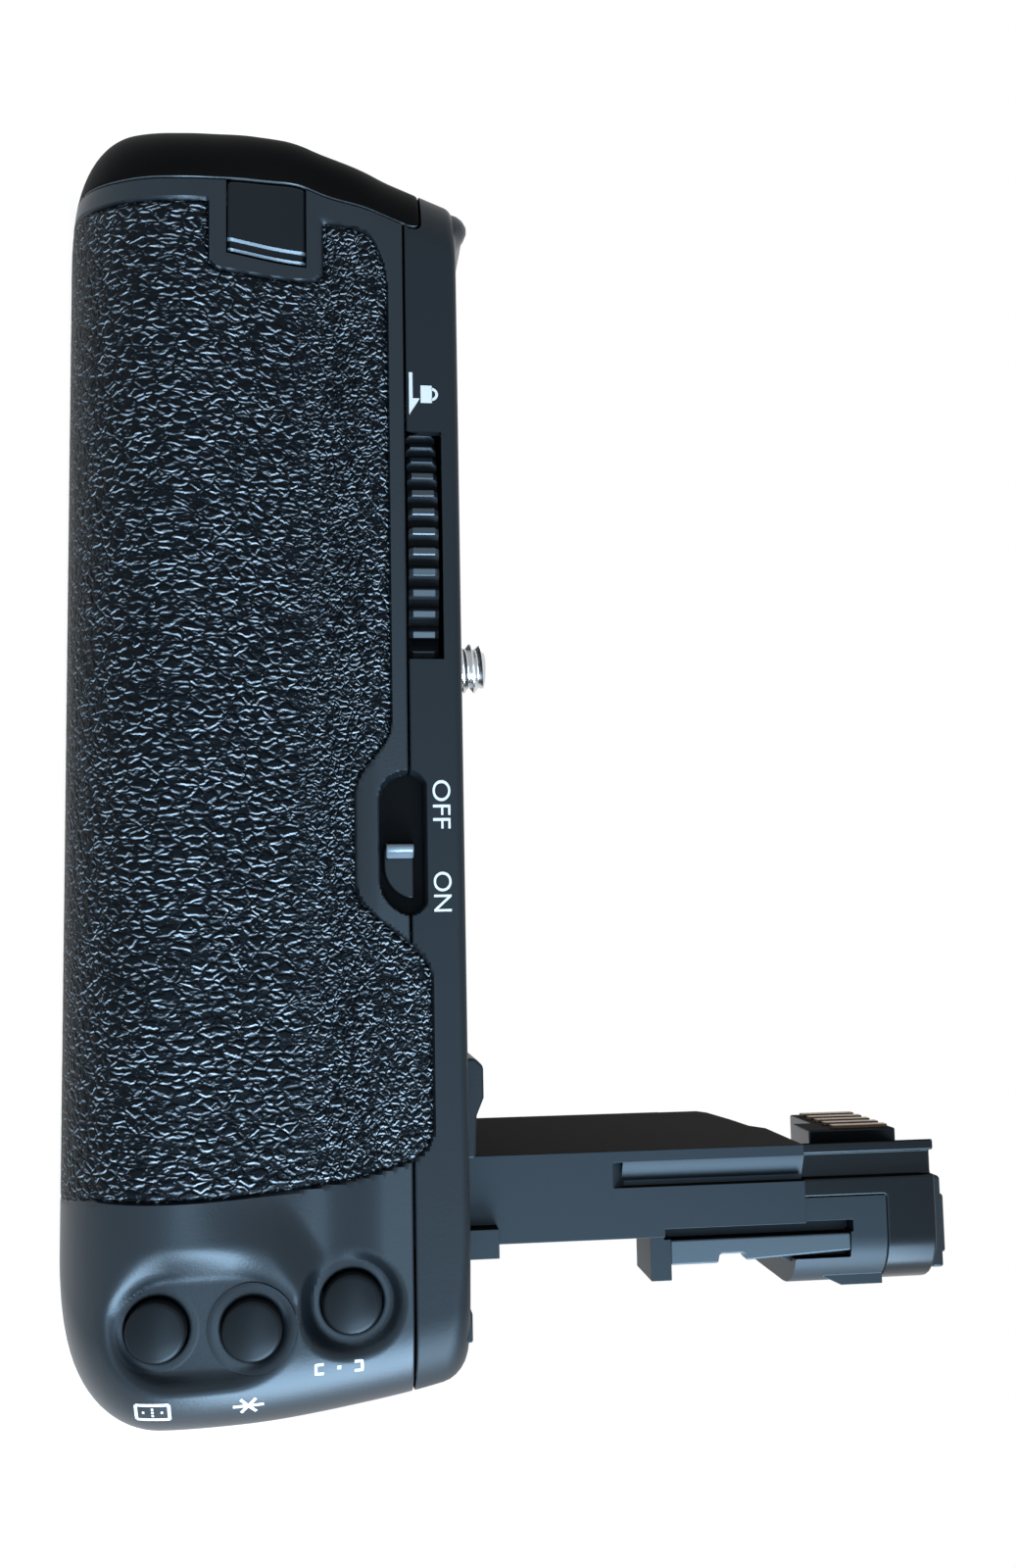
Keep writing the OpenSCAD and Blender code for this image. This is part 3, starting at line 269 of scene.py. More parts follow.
# Painted highlight: a lighter colour for latch faces that face the button end and the light.
LATCH_EDGE_HIGHLIGHT = Finish("latch_edge_painted_highlight", (0.060, 0.080, 0.100), 0.30, specular=0.6)
# Painted highlight: a lighter colour for the knob rib's faces that face the light.
KNOB_RIB_HIGHLIGHT = Finish("knob_rib_painted_highlight", (0.10, 0.13, 0.16), 0.20, specular=0.8)
# Painted shade: a near-black colour for recess floors and the gaps between ribs.
RECESS_SHADE = Finish("recess_painted_shade", (0.0020, 0.0020, 0.0020), 0.6, specular=0.08)
AGED_CONTACT = Finish("aged_contact", (0.10, 0.065, 0.035), 0.5, metallic=0.7, painted_reflection_tint=PLAIN)
STEEL = Finish("turned_steel", (0.60, 0.62, 0.64), 0.22, metallic=1.0, painted_reflection_tint=PLAIN)
DARK_STEEL = Finish("blackened_steel", (0.03, 0.031, 0.033), 0.4, metallic=0.6)
BASE_METAL = Finish("painted_plate", (0.010, 0.011, 0.012), 0.36, specular=0.3, grain_mm=(0.1, 0.004))
CONTACT = Finish("contact_metal", (0.32, 0.22, 0.10), 0.34, metallic=1.0, painted_reflection_tint=PLAIN)
BOARD = Finish("circuit_board", (0.010, 0.085, 0.045), 0.35)
RUBBER = Finish("dial_rubber", (0.010, 0.011, 0.012), 0.6, specular=0.25, grain_mm=(0.2, 0.01))
PACK = Finish("pack_plastic", (0.030, 0.033, 0.036), 0.45, specular=0.3, grain_mm=(0.14, 0.006))
RIBBON = Finish("flexible_ribbon", (0.40, 0.18, 0.02), 0.35)
LEGEND = Finish("legend_paint", (0.70, 0.74, 0.78), 0.6, specular=0.2)
LEATHER = Leatherette("leatherette", (0.0026, 0.0038, 0.0054), 0.42, specular=0.08)

SLOT_FINISH = {
    "casing": CASING, "platform": PLATFORM, "leatherette": LEATHER, "control_plastic": CONTROL,
    "button_plastic": BUTTON, "arm_plastic": ARM, "nose_plastic": NOSE, "pack_plastic": PACK,
    "mat_rubber": RUBBER, "board": BOARD, "ribbon": RIBBON, "steel": STEEL,
    "dark_steel": DARK_STEEL, "base_metal": BASE_METAL, "contact_metal": CONTACT,
}


# Mesh tools


def select_only(obj: Piece) -> None:
    """Deselects everything, then selects one object and makes it active."""
    bpy.ops.object.select_all(action="DESELECT")
    obj.select_set(True)
    bpy.context.view_layer.objects.active = obj


def apply_modifier(obj: Piece, kind: str, **settings: Any) -> None:
    """Adds a modifier, sets it and applies it.

    Args:
        obj: The piece.
        kind: Type of the modifier.
        settings: Attributes of the modifier.
    """
    select_only(obj)
    modifier = obj.modifiers.new(kind.lower(), kind)
    for key, value in settings.items():
        setattr(modifier, key, value)
    bpy.ops.object.modifier_apply(modifier=modifier.name)


def shade(obj: Piece, degrees: float = 35.0) -> None:
    """Shades a piece smooth, apart from edges sharper than the angle."""
    select_only(obj)
    bpy.ops.object.shade_smooth_by_angle(angle=math.radians(degrees))


def even_normals(obj: Piece) -> None:
    """Weighs the normals by area, so that flat faces shade flat beside rounded edges."""
    apply_modifier(obj, "WEIGHTED_NORMAL", keep_sharp=True, weight=80)


def edit(obj: Piece, *steps: Callable[[], Any]) -> None:
    """Runs edit-mode operators on the whole of a piece.

    Args:
        obj: The piece.
        steps: Calls to make, in order, with everything selected.
    """
    select_only(obj)
    bpy.ops.object.mode_set(mode="EDIT")
    for step in steps:
        bpy.ops.mesh.select_all(action="SELECT")
        step()
    bpy.ops.object.mode_set(mode="OBJECT")


def face_outwards() -> None:
    """Turns the selected faces outwards."""
    bpy.ops.mesh.normals_make_consistent(inside=False)


def merge_doubles() -> None:
    """Joins vertices that share a place."""
    bpy.ops.mesh.remove_doubles(threshold=1e-6)


def turn_along_y(obj: Piece, sign: int) -> None:
    """Turns an open sheet so that most of it faces along Y with that sign."""
    edit(obj, face_outwards)
    mean = float(np.mean([p.normal.y * p.area for p in obj.data.polygons]))
    if mean * sign < 0:
        edit(obj, lambda: bpy.ops.mesh.flip_normals())


def thicken(obj: Piece, wall_mm: float, offset: float = -1.0, **settings: Any) -> None:
    """Gives a sheet a wall.

    Args:
        obj: The sheet.
        wall_mm: Thickness of the wall.
        offset: Side on which it grows: -1 is inwards, 0 is both.
        settings: Further attributes of the modifier.
    """
    apply_modifier(obj, "SOLIDIFY", thickness=wall_mm * MM, offset=offset, **settings)


def points_of(obj: Piece) -> Array:
    """Vertices of a piece as rows, in metres."""
    flat = np.empty(len(obj.data.vertices) * 3)
    obj.data.vertices.foreach_get("co", flat)
    return flat.reshape(-1, 3)


def move_to(obj: Piece, points: Array) -> None:
    """Moves the vertices of a piece to points in millimetres."""
    obj.data.vertices.foreach_set("co", (points * MM).ravel())


def formed_grid(name: str, columns: int, rows: int, form: Callable[[Array, Array], Array]) -> Piece:
    """Adds a grid and moves its vertices onto a form.

    Args:
        name: Name of the piece.
        columns: Vertices along the first direction.
        rows: Vertices along the second direction.
        form: Takes column and row numbers and gives points in millimetres.

    Returns:
        The new object, at the origin.
    """
    bpy.ops.object.select_all(action="DESELECT")
    bpy.ops.mesh.primitive_grid_add(x_subdivisions=columns - 1, y_subdivisions=rows - 1, size=2)
    obj = bpy.context.active_object
    obj.name = obj.data.name = name
    flat = points_of(obj)
    column = np.rint((flat[:, 0] + 1) / 2 * (columns - 1)).astype(int)
    row = np.rint((flat[:, 1] + 1) / 2 * (rows - 1)).astype(int)
    move_to(obj, form(column, row))
    obj.data.update()
    return obj


def delete_faces(obj: Piece, test: Callable[[Array, Array, Array], Array]) -> None:
    """Deletes the faces whose centres pass a test.

    Args:
        obj: The piece.
        test: Takes X, Y and Z of the centres in millimetres and gives a mask.
    """
    centres = np.empty(len(obj.data.polygons) * 3)
    obj.data.polygons.foreach_get("center", centres)
    chosen = test(*(centres.reshape(-1, 3) / MM).T)
    select_only(obj)
    bpy.ops.object.mode_set(mode="EDIT")
    bpy.ops.mesh.select_mode(type="FACE")
    bpy.ops.mesh.select_all(action="DESELECT")
    bpy.ops.object.mode_set(mode="OBJECT")
    obj.data.polygons.foreach_set("select", chosen)
    bpy.ops.object.mode_set(mode="EDIT")
    bpy.ops.mesh.delete(type="FACE")
    bpy.ops.object.mode_set(mode="OBJECT")


def join(parts: Sequence[Piece], name: str) -> Piece:
    """Joins meshes into the first of them.

    Args:
        parts: The meshes.
        name: Name of the joined piece.

    Returns:
        The joined object.
    """
    bpy.ops.object.select_all(action="DESELECT")
    for part in parts:
        part.select_set(True)
    bpy.context.view_layer.objects.active = parts[0]
    if len(parts) > 1:
        bpy.ops.object.join()
    parts[0].name = parts[0].data.name = name
    return parts[0]


def dress(obj: Piece, body: Body, slot: str, finish: Finish | None = None,
          replaces: Iterable[str] = ()) -> Piece:
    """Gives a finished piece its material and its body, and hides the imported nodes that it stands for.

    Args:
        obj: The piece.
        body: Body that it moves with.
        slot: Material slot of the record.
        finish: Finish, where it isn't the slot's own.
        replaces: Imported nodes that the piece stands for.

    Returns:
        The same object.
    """
    obj.data.materials.clear()
    obj.data.materials.append((finish or SLOT_FINISH[slot]).material())
    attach(obj, body.value)
    for node in replaces:
        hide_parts(node)
    LOG.info("%s: %d faces on %s", obj.name, len(obj.data.polygons), body.value)
    return obj


def soft_copy(node: str, width_mm: float, segments: int = 2, degrees: float = 35.0) -> Piece:
    """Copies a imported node's mesh and rounds its sharp edges.

    Args:
        node: Name of the node.
        width_mm: Width of the rounding.
        segments: Steps of the rounding.
        degrees: Least angle of an edge that is rounded.

    Returns:
        The copy, named after the node.
    """
    mesh = frame["nodes"][node].data.copy()
    obj = bpy.data.objects.new(f"{node}_piece", mesh)
    bpy.context.scene.collection.objects.link(obj)
    mesh.name = obj.name
    edit(obj, merge_doubles, lambda: bpy.ops.mesh.customdata_custom_splitnormals_clear(),
         lambda: bpy.ops.mesh.dissolve_limited(angle_limit=math.radians(0.5)))
    apply_modifier(obj, "BEVEL", width=width_mm * MM, segments=segments, limit_method="ANGLE",
                   angle_limit=math.radians(degrees), use_clamp_overlap=True, miter_outer="MITER_ARC")
    shade(obj)
    even_normals(obj)
    return obj


# Form of the grip


def smooth_step(value: Array, low: float, high: Array | float) -> Array:
    """Rises from 0 to 1 between two values, level at both ends."""
    t = np.clip((value - low) / (high - low), 0.0, 1.0)
    return t * t * (3 - 2 * t)


def half_wave(value: Array, low: float, high: float) -> Array:
    """Rises from 0 to 1 between two values, as half a cosine wave."""
    return (1 - np.cos(math.pi * np.clip((value - low) / (high - low), 0, 1))) / 2


def capsule_gap(x: Array, z: Array, ends: Sequence[Pair], radius: float) -> Array:
    """Distance to a capsule, negative inside.

    Args:
        x: Places along X.
        z: Places along Z.
        ends: The two middles of the capsule's round ends.
        radius: Its radius.

    Returns:
        Signed distances.
    """
    (ax, az), (bx, bz) = ends
    length = (bx - ax) ** 2 + (bz - az) ** 2
    along = np.clip(((x - ax) * (bx - ax) + (z - az) * (bz - az)) / max(length, 1e-9), 0, 1)
    return np.hypot(x - ax - along * (bx - ax), z - az - along * (bz - az)) - radius


def outline_gap(x: Array, z: Array, outline: Sequence[Pair]) -> Array:
    """Distance to a closed outline, negative inside.

    Args:
        x: Places along X.
        z: Places along Z.
        outline: Corner points in order.

    Returns:
        Signed distances.
    """
    gap = np.full(x.shape, 1e9)
    inside = np.zeros(x.shape, bool)
    corners = list(outline)
    for (ax, az), (bx, bz) in zip(corners, corners[1:] + corners[:1]):
        gap = np.minimum(gap, capsule_gap(x, z, ((ax, az), (bx, bz)), 0.0))
        crosses = (az > z) != (bz > z)
        if bz != az:
            inside ^= crosses & (x < (bx - ax) * (z - az) / (bz - az) + ax)
    return np.where(inside, -gap, gap)


def crackle(u: Array, v: Array) -> Array:
    """Scattered cells: 0 on their borders, 1 inside.

    Args:
        u: Places in cell widths.
        v: Places in cell lengths.

    Returns:
        Heights of the cells.
    """
    near, second = np.full(u.shape, 9.0), np.full(u.shape, 9.0)
    for step in range(9):
        cu, cv = np.floor(u) + step // 3 - 1, np.floor(v) + step % 3 - 1
        ju = np.mod(np.sin(cu * 127.1 + cv * 311.7) * 43758.5453, 1.0)
        jv = np.mod(np.sin(cu * 269.5 + cv * 183.3) * 43758.5453, 1.0)
        gap = np.hypot(cu + 0.15 + 0.7 * ju - u, cv + 0.15 + 0.7 * jv - v)
        second = np.minimum(second, np.maximum(near, gap))
        near = np.minimum(near, gap)
    return smooth_step(second - near, 0.0, 0.4)


def turn(start: Pair, end: Pair, points: int = 8) -> list[Pair]:
    """S-curve between two points that leaves and arrives level."""
    steps = [i / points for i in range(points + 1)]
    return [(start[0] + (end[0] - start[0]) * t,
             start[1] + (end[1] - start[1]) * (1 - math.cos(math.pi * t)) / 2) for t in steps]


@dataclass(frozen=True)
class GripForm:
    """Outer form of the closed grip, as formulas of X and Z."""

    end_left: float = 58.0
    end_right: float = 86.0
    body_h: float = 44.0
    seam_z: float = 38.0
    wall_rear: float = 30.0
    swell_y: float = -33.0
    swell_h: float = 13.0
    valley_y: float = -28.6
    valley_h: float = 28.5
    strip_h: float = 35.0
    end_r: float = 7.8
    end_in: float = 0.75
    lean_r: float = 8.0
    lean_z: float = 24.5
    lean_deg: float = 22.0
    heel_r: float = 11.5
    crown_r: float = 90.0
    crown_z: float = 20.0
    side_r: float = 9.0
    side_tight: float = 2.3
    split_y: float = 22.7
    front_y: float = 27.0
    grip_y: float = 42.0
    front_r: float = 6.0
    grip_r: float = 12.0
    grip_lean: float = 2.0
    grip_x: float = 16.0
    grip_flank: float = 20.0
    front_side_r: float = 10.0
    pad_x: float = 61.4
    pad_ramp: float = 9.0
    pad_delay: float = 6.0
    cap_depth: float = 8.9
    cap_tuck: float = 1.3
    cap_flare: float = 0.25
    cap_foot: float = 0.8
    cap_corner: float = 1.3
    cap_top: float = 40.0
    skin_margin: float = 2.3
    edge_r: float = 1.0

    def end_lean(self, z: Array) -> Array:
        """How far the magazine end leans in at a height, without its lower rounding."""
        z, lean = np.asarray(z, float), math.radians(self.lean_deg)
        foot_z = self.lean_z + self.lean_r * math.sin(lean)
        mid = np.clip(z, self.lean_z, foot_z) - self.lean_z
        bend = self.lean_r - np.sqrt(self.lean_r**2 - mid**2)
        return self.end_in * (1 - smooth_step(z, 12.0, 21.0)) + bend + np.maximum(z - foot_z, 0) * math.tan(lean)

    def left_x(self, z: Array) -> Array:
        """X of the magazine end at a height."""
        return -self.end_left + self.end_lean(z) + self.rounding(np.asarray(z, float), self.end_r)

    def left_r(self, z: Array) -> Array:
        """Radius of the rear edge of the magazine end, tighter in the valley."""
        z = np.asarray(z, float)
        return self.side_r - self.side_tight * smooth_step(z, 16.0, 25.0) * (1 - smooth_step(z, 29.0, 37.0))

    def seam_x(self, z: Array) -> Array:
        """X of the end cap's seam at a height, flatter than the end's lower rounding."""
        z = np.asarray(z, float)
        depth = self.cap_depth - self.cap_tuck * smooth_step(z, 16.0, 28.0)
        flare = self.cap_flare * self.rounding(z, self.end_r) * smooth_step(z, 0.0, 2.0)
        return np.maximum(-self.end_left + self.end_lean(z) + depth - flare, self.left_x(z) + self.cap_foot)

    def right_x(self, z: Array) -> Array:
        """X of the button end at a height."""
        z = np.asarray(z, float)
        low = self.rounding(z, self.heel_r)
        high = self.crown_r - np.sqrt(self.crown_r**2 - np.maximum(z - self.crown_z, 0) ** 2)
        return self.end_right - low - high

    def rear_profile(self, z: Array, valley: float) -> Array:
        """Y of the rear face far from the ends.

        Args:
            z: Heights.
            valley: Y at the bottom of the valley under the platform.

        Returns:
            Y at those heights.
        """
        z = np.asarray(z, float)
        low = self.rounding(z, self.swell_h)
        fall = half_wave(z, self.swell_h, self.valley_h)
        rise = half_wave(z, self.valley_h, self.strip_h)
        return self.swell_y + low + fall * (valley - self.swell_y) + rise * (-self.wall_rear - valley)

    def pad_profile(self, z: Array) -> Array:
        """Y of the filled rear face behind the thumb buttons."""
        z = np.asarray(z, float)
        fall = half_wave(z, self.swell_h, self.strip_h)
        low = self.rear_profile(np.minimum(z, self.swell_h), self.valley_y) - self.swell_y
        return self.swell_y + low + fall * (-self.wall_rear - self.swell_y)

    def rounding(self, gap: Array, radius: float | Array) -> Array:
        """Fall of a rounded edge at a distance from its end."""
        inner = np.clip(radius - gap, 0, radius)
        return radius - np.sqrt(radius**2 - inner**2)

    def rear_y(self, x: Array, z: Array) -> Array:
        """Y of the rear face with its pad and its rounded ends."""
        delay = self.pad_delay * smooth_step(z, 23.0, 30.0)
        pad = smooth_step(x, self.pad_x + delay, self.pad_x + self.pad_ramp + delay)
        y = (1 - pad) * self.rear_profile(z, self.valley_y) + pad * self.pad_profile(z)
        y = y + self.rounding(x - self.left_x(z), self.left_r(z))
        return y + self.rounding(self.right_x(z) - x, self.side_r)

    def front_face(self, x: Array, z: Array) -> Array:
        """Y of the front face with the hand grip and its rounded ends."""
        grip = half_wave(x, self.grip_x, self.grip_x + self.grip_flank)
        low_wall = self.rounding(np.asarray(z, float), self.front_r)
        low_grip = self.rounding(np.asarray(z, float), self.grip_r) + self.grip_lean * z / self.body_h
        y = (1 - grip) * (self.front_y - low_wall) + grip * (self.grip_y - low_grip)
        y = y - self.rounding(x - self.left_x(z), self.front_side_r)
        return y - self.rounding(self.right_x(z) - x, self.front_side_r)

    def skin_outline(self) -> list[Pair]:
        """Edge of the rear leatherette, in X and Z."""
        heights = np.linspace(37.2, -3.0, 30)
        seam = [(float(self.seam_x(max(z, 0.0))) + self.skin_margin, float(z)) for z in heights]
        lower = [p for p in seam if p[1] < 16.6]
        notch = [(-39.2, 28.0), (-39.9, 28.9)]
        corner = [(-38.7, 17.4), (-39.4, 16.6)]
        top = [(-46.3, 28.9), (-45.9, 30.6), (-45.4, 32.2), (-44.7, 33.5), (-43.7, 34.5), (-42.4, 35.2),
               (-40.6, 35.8), (-38.4, 36.1)]
        dip = turn((11.5, 36.1), (19.0, 32.1)) + turn((29.0, 32.1), (39.0, 40.2), 10)
        tongue = [(55.4, 40.2), (56.9, 39.7), (57.8, 38.8), (58.6, 37.4), (60.5, 31.0), (61.2, 26.0)]
        heel = [(61.4, 20.0), (61.4, 4.4), (62.0, 1.0), (63.0, -3.0)]
        return lower[::-1] + corner[::-1] + notch + top + dip + tongue + heel


@dataclass(frozen=True)
class RearFeatures:
    """Hollows in the rear face: thumb dishes, switch recess, latch pocket and leatherette seat."""

    dish_ends: tuple[Pair, Pair] = ((73.3, 12.9), (73.3, 19.1))
    dish_r: float = 7.6
    dish_y: float = -30.5
    dish_soft: Pair = (2.3, 4.7)
    focus: Pair = (72.9, 31.4)
    focus_r: float = 5.9
    focus_y: float = -28.7
    focus_soft: float = 1.9
    switch_edge: tuple[Pair, ...] = (
        (16.6, 38.0), (16.8, 36.8), (17.3, 35.8), (18.2, 35.0), (19.5, 34.6), (28.9, 34.6), (30.3, 35.0), (31.4, 35.8),
        (32.2, 36.9), (32.6, 38.0), (32.2, 39.0), (31.3, 39.8), (17.9, 39.8), (17.0, 39.0))
    switch_depth: float = 2.3
    switch_soft: float = 0.32
    latch_x: Pair = (-52.0, -40.6)
    latch_z: Pair = (18.38, 27.12)
    latch_depth: float = 4.6
    skin_seat: float = 0.9
    skin_gap: float = 0.12
    skin_soft: float = 0.35

    def sink(self, y: Array, gap: Array, floor: float, soft: Array | float) -> Array:
        """Lowers a face to a flat floor inside an outline, over a soft edge."""
        return np.where(floor > y, y + (floor - y) * smooth_step(-gap, 0.0, soft), y)

    def hollow(self, x: Array, z: Array, y: Array) -> Array:
        """Adds the dishes, the switch recess and the latch pocket.

        Args:
            x: Places along X.
            z: Places along Z.
            y: Y of the plain rear face there.

        Returns:
            Y of the hollowed face.
        """
        near, far = self.dish_soft
        soft = near + (far - near) * smooth_step(self.dish_ends[0][0] - x, 0.0, 5.0)
        y = self.sink(y, capsule_gap(x, z, self.dish_ends, self.dish_r), self.dish_y, soft)
        y = self.sink(y, capsule_gap(x, z, (self.focus, self.focus), self.focus_r), self.focus_y, self.focus_soft)
        gap = outline_gap(x, z, self.switch_edge)
        y = y + self.switch_depth * smooth_step(-gap, 0.0, self.switch_soft)
        inside = (x > self.latch_x[0]) & (x < self.latch_x[1]) & (z > self.latch_z[0]) & (z < self.latch_z[1])
        return np.where(inside, y + self.latch_depth, y)

    def face(self, form: GripForm, x: Array, z: Array) -> Array:
        """Y of the hollowed rear face."""
        return self.hollow(x, z, form.rear_y(x, z))


def prism(name: str, outline: Sequence[Pair], plane: str, low: float, high: float,
          bevel: float = 0.0, segments: int = 2) -> Piece:
    """Extrudes a closed outline and rounds its edges.

    Args:
        name: Name of the piece.
        outline: Corner points in the plane.
        plane: Two of the letters X, Y and Z: the outline's axes. It is extruded along the third.
        low: Start along the third axis.
        high: End along the third axis.
        bevel: Width of the rounding.
        segments: Steps of the rounding.

    Returns:
        The new object, at the origin.
    """
    axes = ["XYZ".index(letter) for letter in plane]
    third = 3 - sum(axes)
    bpy.ops.object.select_all(action="DESELECT")
    bpy.ops.mesh.primitive_circle_add(vertices=len(outline), radius=1, fill_type="NGON")
    obj = bpy.context.active_object
    obj.name = obj.data.name = name
    for vertex, point in zip(obj.data.vertices, outline):
        place = [0.0, 0.0, 0.0]
        place[axes[0]], place[axes[1]], place[third] = point[0] * MM, point[1] * MM, low * MM
        vertex.co = place
    push = [0.0, 0.0, 0.0]
    push[third] = (high - low) * MM
    edit(obj, lambda: bpy.ops.mesh.extrude_region_move(TRANSFORM_OT_translate={"value": push}), face_outwards)
    if bevel:
        apply_modifier(obj, "BEVEL", width=bevel * MM, segments=segments, limit_method="ANGLE",
                       angle_limit=math.radians(30), miter_outer="MITER_ARC")
    shade(obj)
    if bevel:
        even_normals(obj)
    return obj


def box(name: str, low: Sequence[float], high: Sequence[float], bevel: float = 0.0) -> Piece:
    """Makes a block between two corners, with rounded edges."""
    corners = [(low[0], low[1]), (high[0], low[1]), (high[0], high[1]), (low[0], high[1])]
    return prism(name, corners, "XY", low[2], high[2], bevel)


def lathe(name: str, profile: Sequence[Pair], place: Sequence[float],
          axis: Sequence[float], steps: int = 48) -> Piece:
    """Turns a profile round an axis.

    Args:
        name: Name of the piece.
        profile: Points of radius and height along the axis.
        place: Where the axis starts.
        axis: Direction of the axis.
        steps: Steps round the axis.

    Returns:
        The new object, at the origin.
    """
    turned = Vector(axis).to_track_quat("Z", "Y").to_matrix()
    line = np.array(profile, float)

    def form(column: Array, row: Array) -> Array:
        """Points of the turned profile."""
        angle = column / steps * 2 * math.pi
        points = np.stack([line[row, 0] * np.cos(angle), line[row, 0] * np.sin(angle), line[row, 1]], 1)
        return points @ np.array(turned).T + np.array(place)

    obj = formed_grid(name, steps + 1, len(profile), form)
    edit(obj, merge_doubles, face_outwards)
    shade(obj)
    return obj


def spread(*stations: float, step: float) -> Array:
    """Places between stations, each stretch cut in even steps no longer than a step."""
    places = [stations[0]]
    for low, high in zip(stations, stations[1:]):
        count = max(1, math.ceil((high - low) / step - 1e-6))
        places += [low + (high - low) * (i + 1) / count for i in range(count)]
    return np.array(places)


@dataclass(frozen=True)
class Casing:
    """Rear, front and platform shells, the end cap and the leatherette inlays."""

    form: GripForm = GripForm()
    features: RearFeatures = RearFeatures()
    wall: float = 1.4
    thin: float = 0.3
    skin_wall: float = 0.5
    sharp_deg: float = 38.0
    roll_in: float = 0.42
    roll_under: float = 1.1
    skin_sink: float = 0.06
    top_rounder: float = 1.7
    cap_round: float = 0.4
    cap_seam_round: float = 0.3
    crease_cell: Pair = (1.5, 2.5)
    crease_depth: float = 0.07
    seam_gap: float = 0.1
    seam_round: float = 0.22
    step: float = 0.36
    crease: float = 0.04
    buttons: tuple[Pair, ...] = ((74.4, 11.4), (74.7, 21.1), (72.9, 31.4))
    bore_r: float = 3.3
    bore_patch: float = 4.6
    shutter: Pair = (14.0, 17.0)
    shutter_cut: float = 6.9
    dial_window: Quad = (-4.9, 2.9, 8.1, 25.9)
    wheel_window: Triple = (-21.4, 4.4, 42.0)
    plate: Pair = (22.0, 15.0)
    chamber: Quad = (64.6, 21.1, 6.6, 29.4)
    arm_hole: Quad = (59.3, 69.5, -21.2, 14.2)
    front_skin: Quad = (37.5, 75.0, 1.8, 36.0)

    def shift_left(self, x: Array, z: Array) -> Array:
        """Moves straight stations near the magazine end so that they run along its seam."""
        start = -self.form.end_left + self.form.cap_depth + self.seam_gap
        reach = np.interp(z, [0.0, 14.0], [-22.0, -41.0])
        share = np.clip((reach - x) / (reach - start), 0, 1)
        return (self.form.seam_x(z) + self.form.end_left - self.form.cap_depth) * share

    def shift_right(self, x: Array, z: Array) -> Array:
        """Moves straight stations near the button end so that they run along it."""
        start = self.form.end_right - 26.0
        share = np.clip((x - start) / (self.form.end_right - start), 0, 1)
        return (self.form.right_x(z) - self.form.end_right) * share

    def column_x(self, x: Array, z: Array) -> Array:
        """X of a station at a height."""
        return x + self.shift_left(x, z) + self.shift_right(x, z)

    def end_stations(self, radius: float) -> Array:
        """Stations over the rounded edge of the button end."""
        turning = radius * np.sin(np.radians(np.arange(45, 91, 5)))
        flat = spread(0.0, float(turning[0]), step=self.step)
        return self.form.end_right - radius + np.concatenate([flat[:-1], turning])

    def rear_stations(self) -> Array:
        """Stations along the rear face, from the cap's seam to the button end."""
        start = -self.form.end_left + self.form.cap_depth + self.seam_gap
        edge = self.features.latch_x[1]
        far = self.form.end_right - self.form.side_r
        first, last = self.wheel_window[0], self.wheel_window[1]
        near = np.concatenate([spread(start, edge - self.crease, edge, step=self.step)[:-1],
                               spread(edge, -37.0, step=self.step / 3)])
        wide = spread(-37.0, -self.plate[0], first, last, 10.0, step=0.9)
        curve = spread(10.0, 16.2, step=self.step)
        switch = spread(16.2, self.plate[0], 33.0, step=0.17)
        tongue = spread(33.0, 41.0, step=self.step)
        flat = spread(41.0, 54.0, step=0.8)
        parts = [near, wide, curve, switch, tongue, flat, spread(54.0, far, step=self.step)]
        return np.concatenate([part[:-1] for part in parts] + [self.end_stations(self.form.side_r)])

    def rear_rows(self) -> Array:
        """Heights of the rear shell's rows."""
        arc = self.form.swell_h * (1 - np.cos(np.radians(np.arange(0, 60, 4))))
        low, high = self.features.latch_z
        top = self.form.seam_z - self.seam_gap
        dial = self.dial_window
        stations = [float(arc[-1]), dial[2], low, low + self.crease, dial[3], high - self.crease, high, 34.3]
        rounding = top - self.seam_round * (1 - np.sin(np.radians([30, 60, 90])))
        fine = spread(34.3, top - self.seam_round, step=0.18)
        return np.concatenate([arc[:-1], spread(*stations, step=self.step)[:-1], fine, rounding])

    def seam_fall(self, z: Array, edge: float) -> Array:
        """Rounding of a shell's edge at its seam."""
        return self.form.rounding(np.abs(z - edge), self.seam_round)

    def skin_gap_at(self, x: Array, z: Array) -> Array:
        """Distance to the rear leatherette's edge, negative inside."""
        return outline_gap(x, z, self.form.skin_outline())

    def housing_y(self, x: Array, z: Array) -> Array:
        """Y of the rear shell, with the leatherette's seat."""
        y = self.features.face(self.form, x, z)
        seat = smooth_step(-self.skin_gap_at(x, z), -self.features.skin_gap,
                           self.features.skin_soft - self.features.skin_gap)
        return y + self.features.skin_seat * seat

    def right_wall(self, split: float) -> Array:
        """Stations of Y along the button end, up to the split."""
        dial = self.dial_window
        return spread(-8.0, dial[0], dial[1], 7.0, split, step=0.55)

    def rear_sheet(self) -> Piece:
        """Rear face and button end, up to the seam and the split."""
        stations, rows = self.rear_stations(), self.rear_rows()
        wall = self.right_wall(self.form.split_y)
        lead = np.linspace(0, 1, 13)[1:-1]
        count, ramp = len(stations), len(lead)

        def place(column: Array, row: Array) -> Array:
            """Points of the rear face, its turn and the end wall."""
            z = rows[row]
            station = stations[np.minimum(column, count - 1)]
            x = self.column_x(station, z)
            y = self.housing_y(x, z)
            start = self.form.rear_y(self.form.right_x(z), z)
            on_ramp = (column >= count) & (column < count + ramp)
            y = np.where(on_ramp, start + (wall[0] - start) * lead[np.clip(column - count, 0, ramp - 1)], y)
            on_wall = column >= count + ramp
            y = np.where(on_wall, np.maximum(wall[np.clip(column - count - ramp, 0, len(wall) - 1)], start), y)
            fall = self.seam_fall(z, self.form.seam_z - self.seam_gap)
            x = np.where(column >= count, self.form.right_x(z) - fall, x)
            y = np.where(column < count, y + fall, y)
            return np.stack([x, y, z], 1)

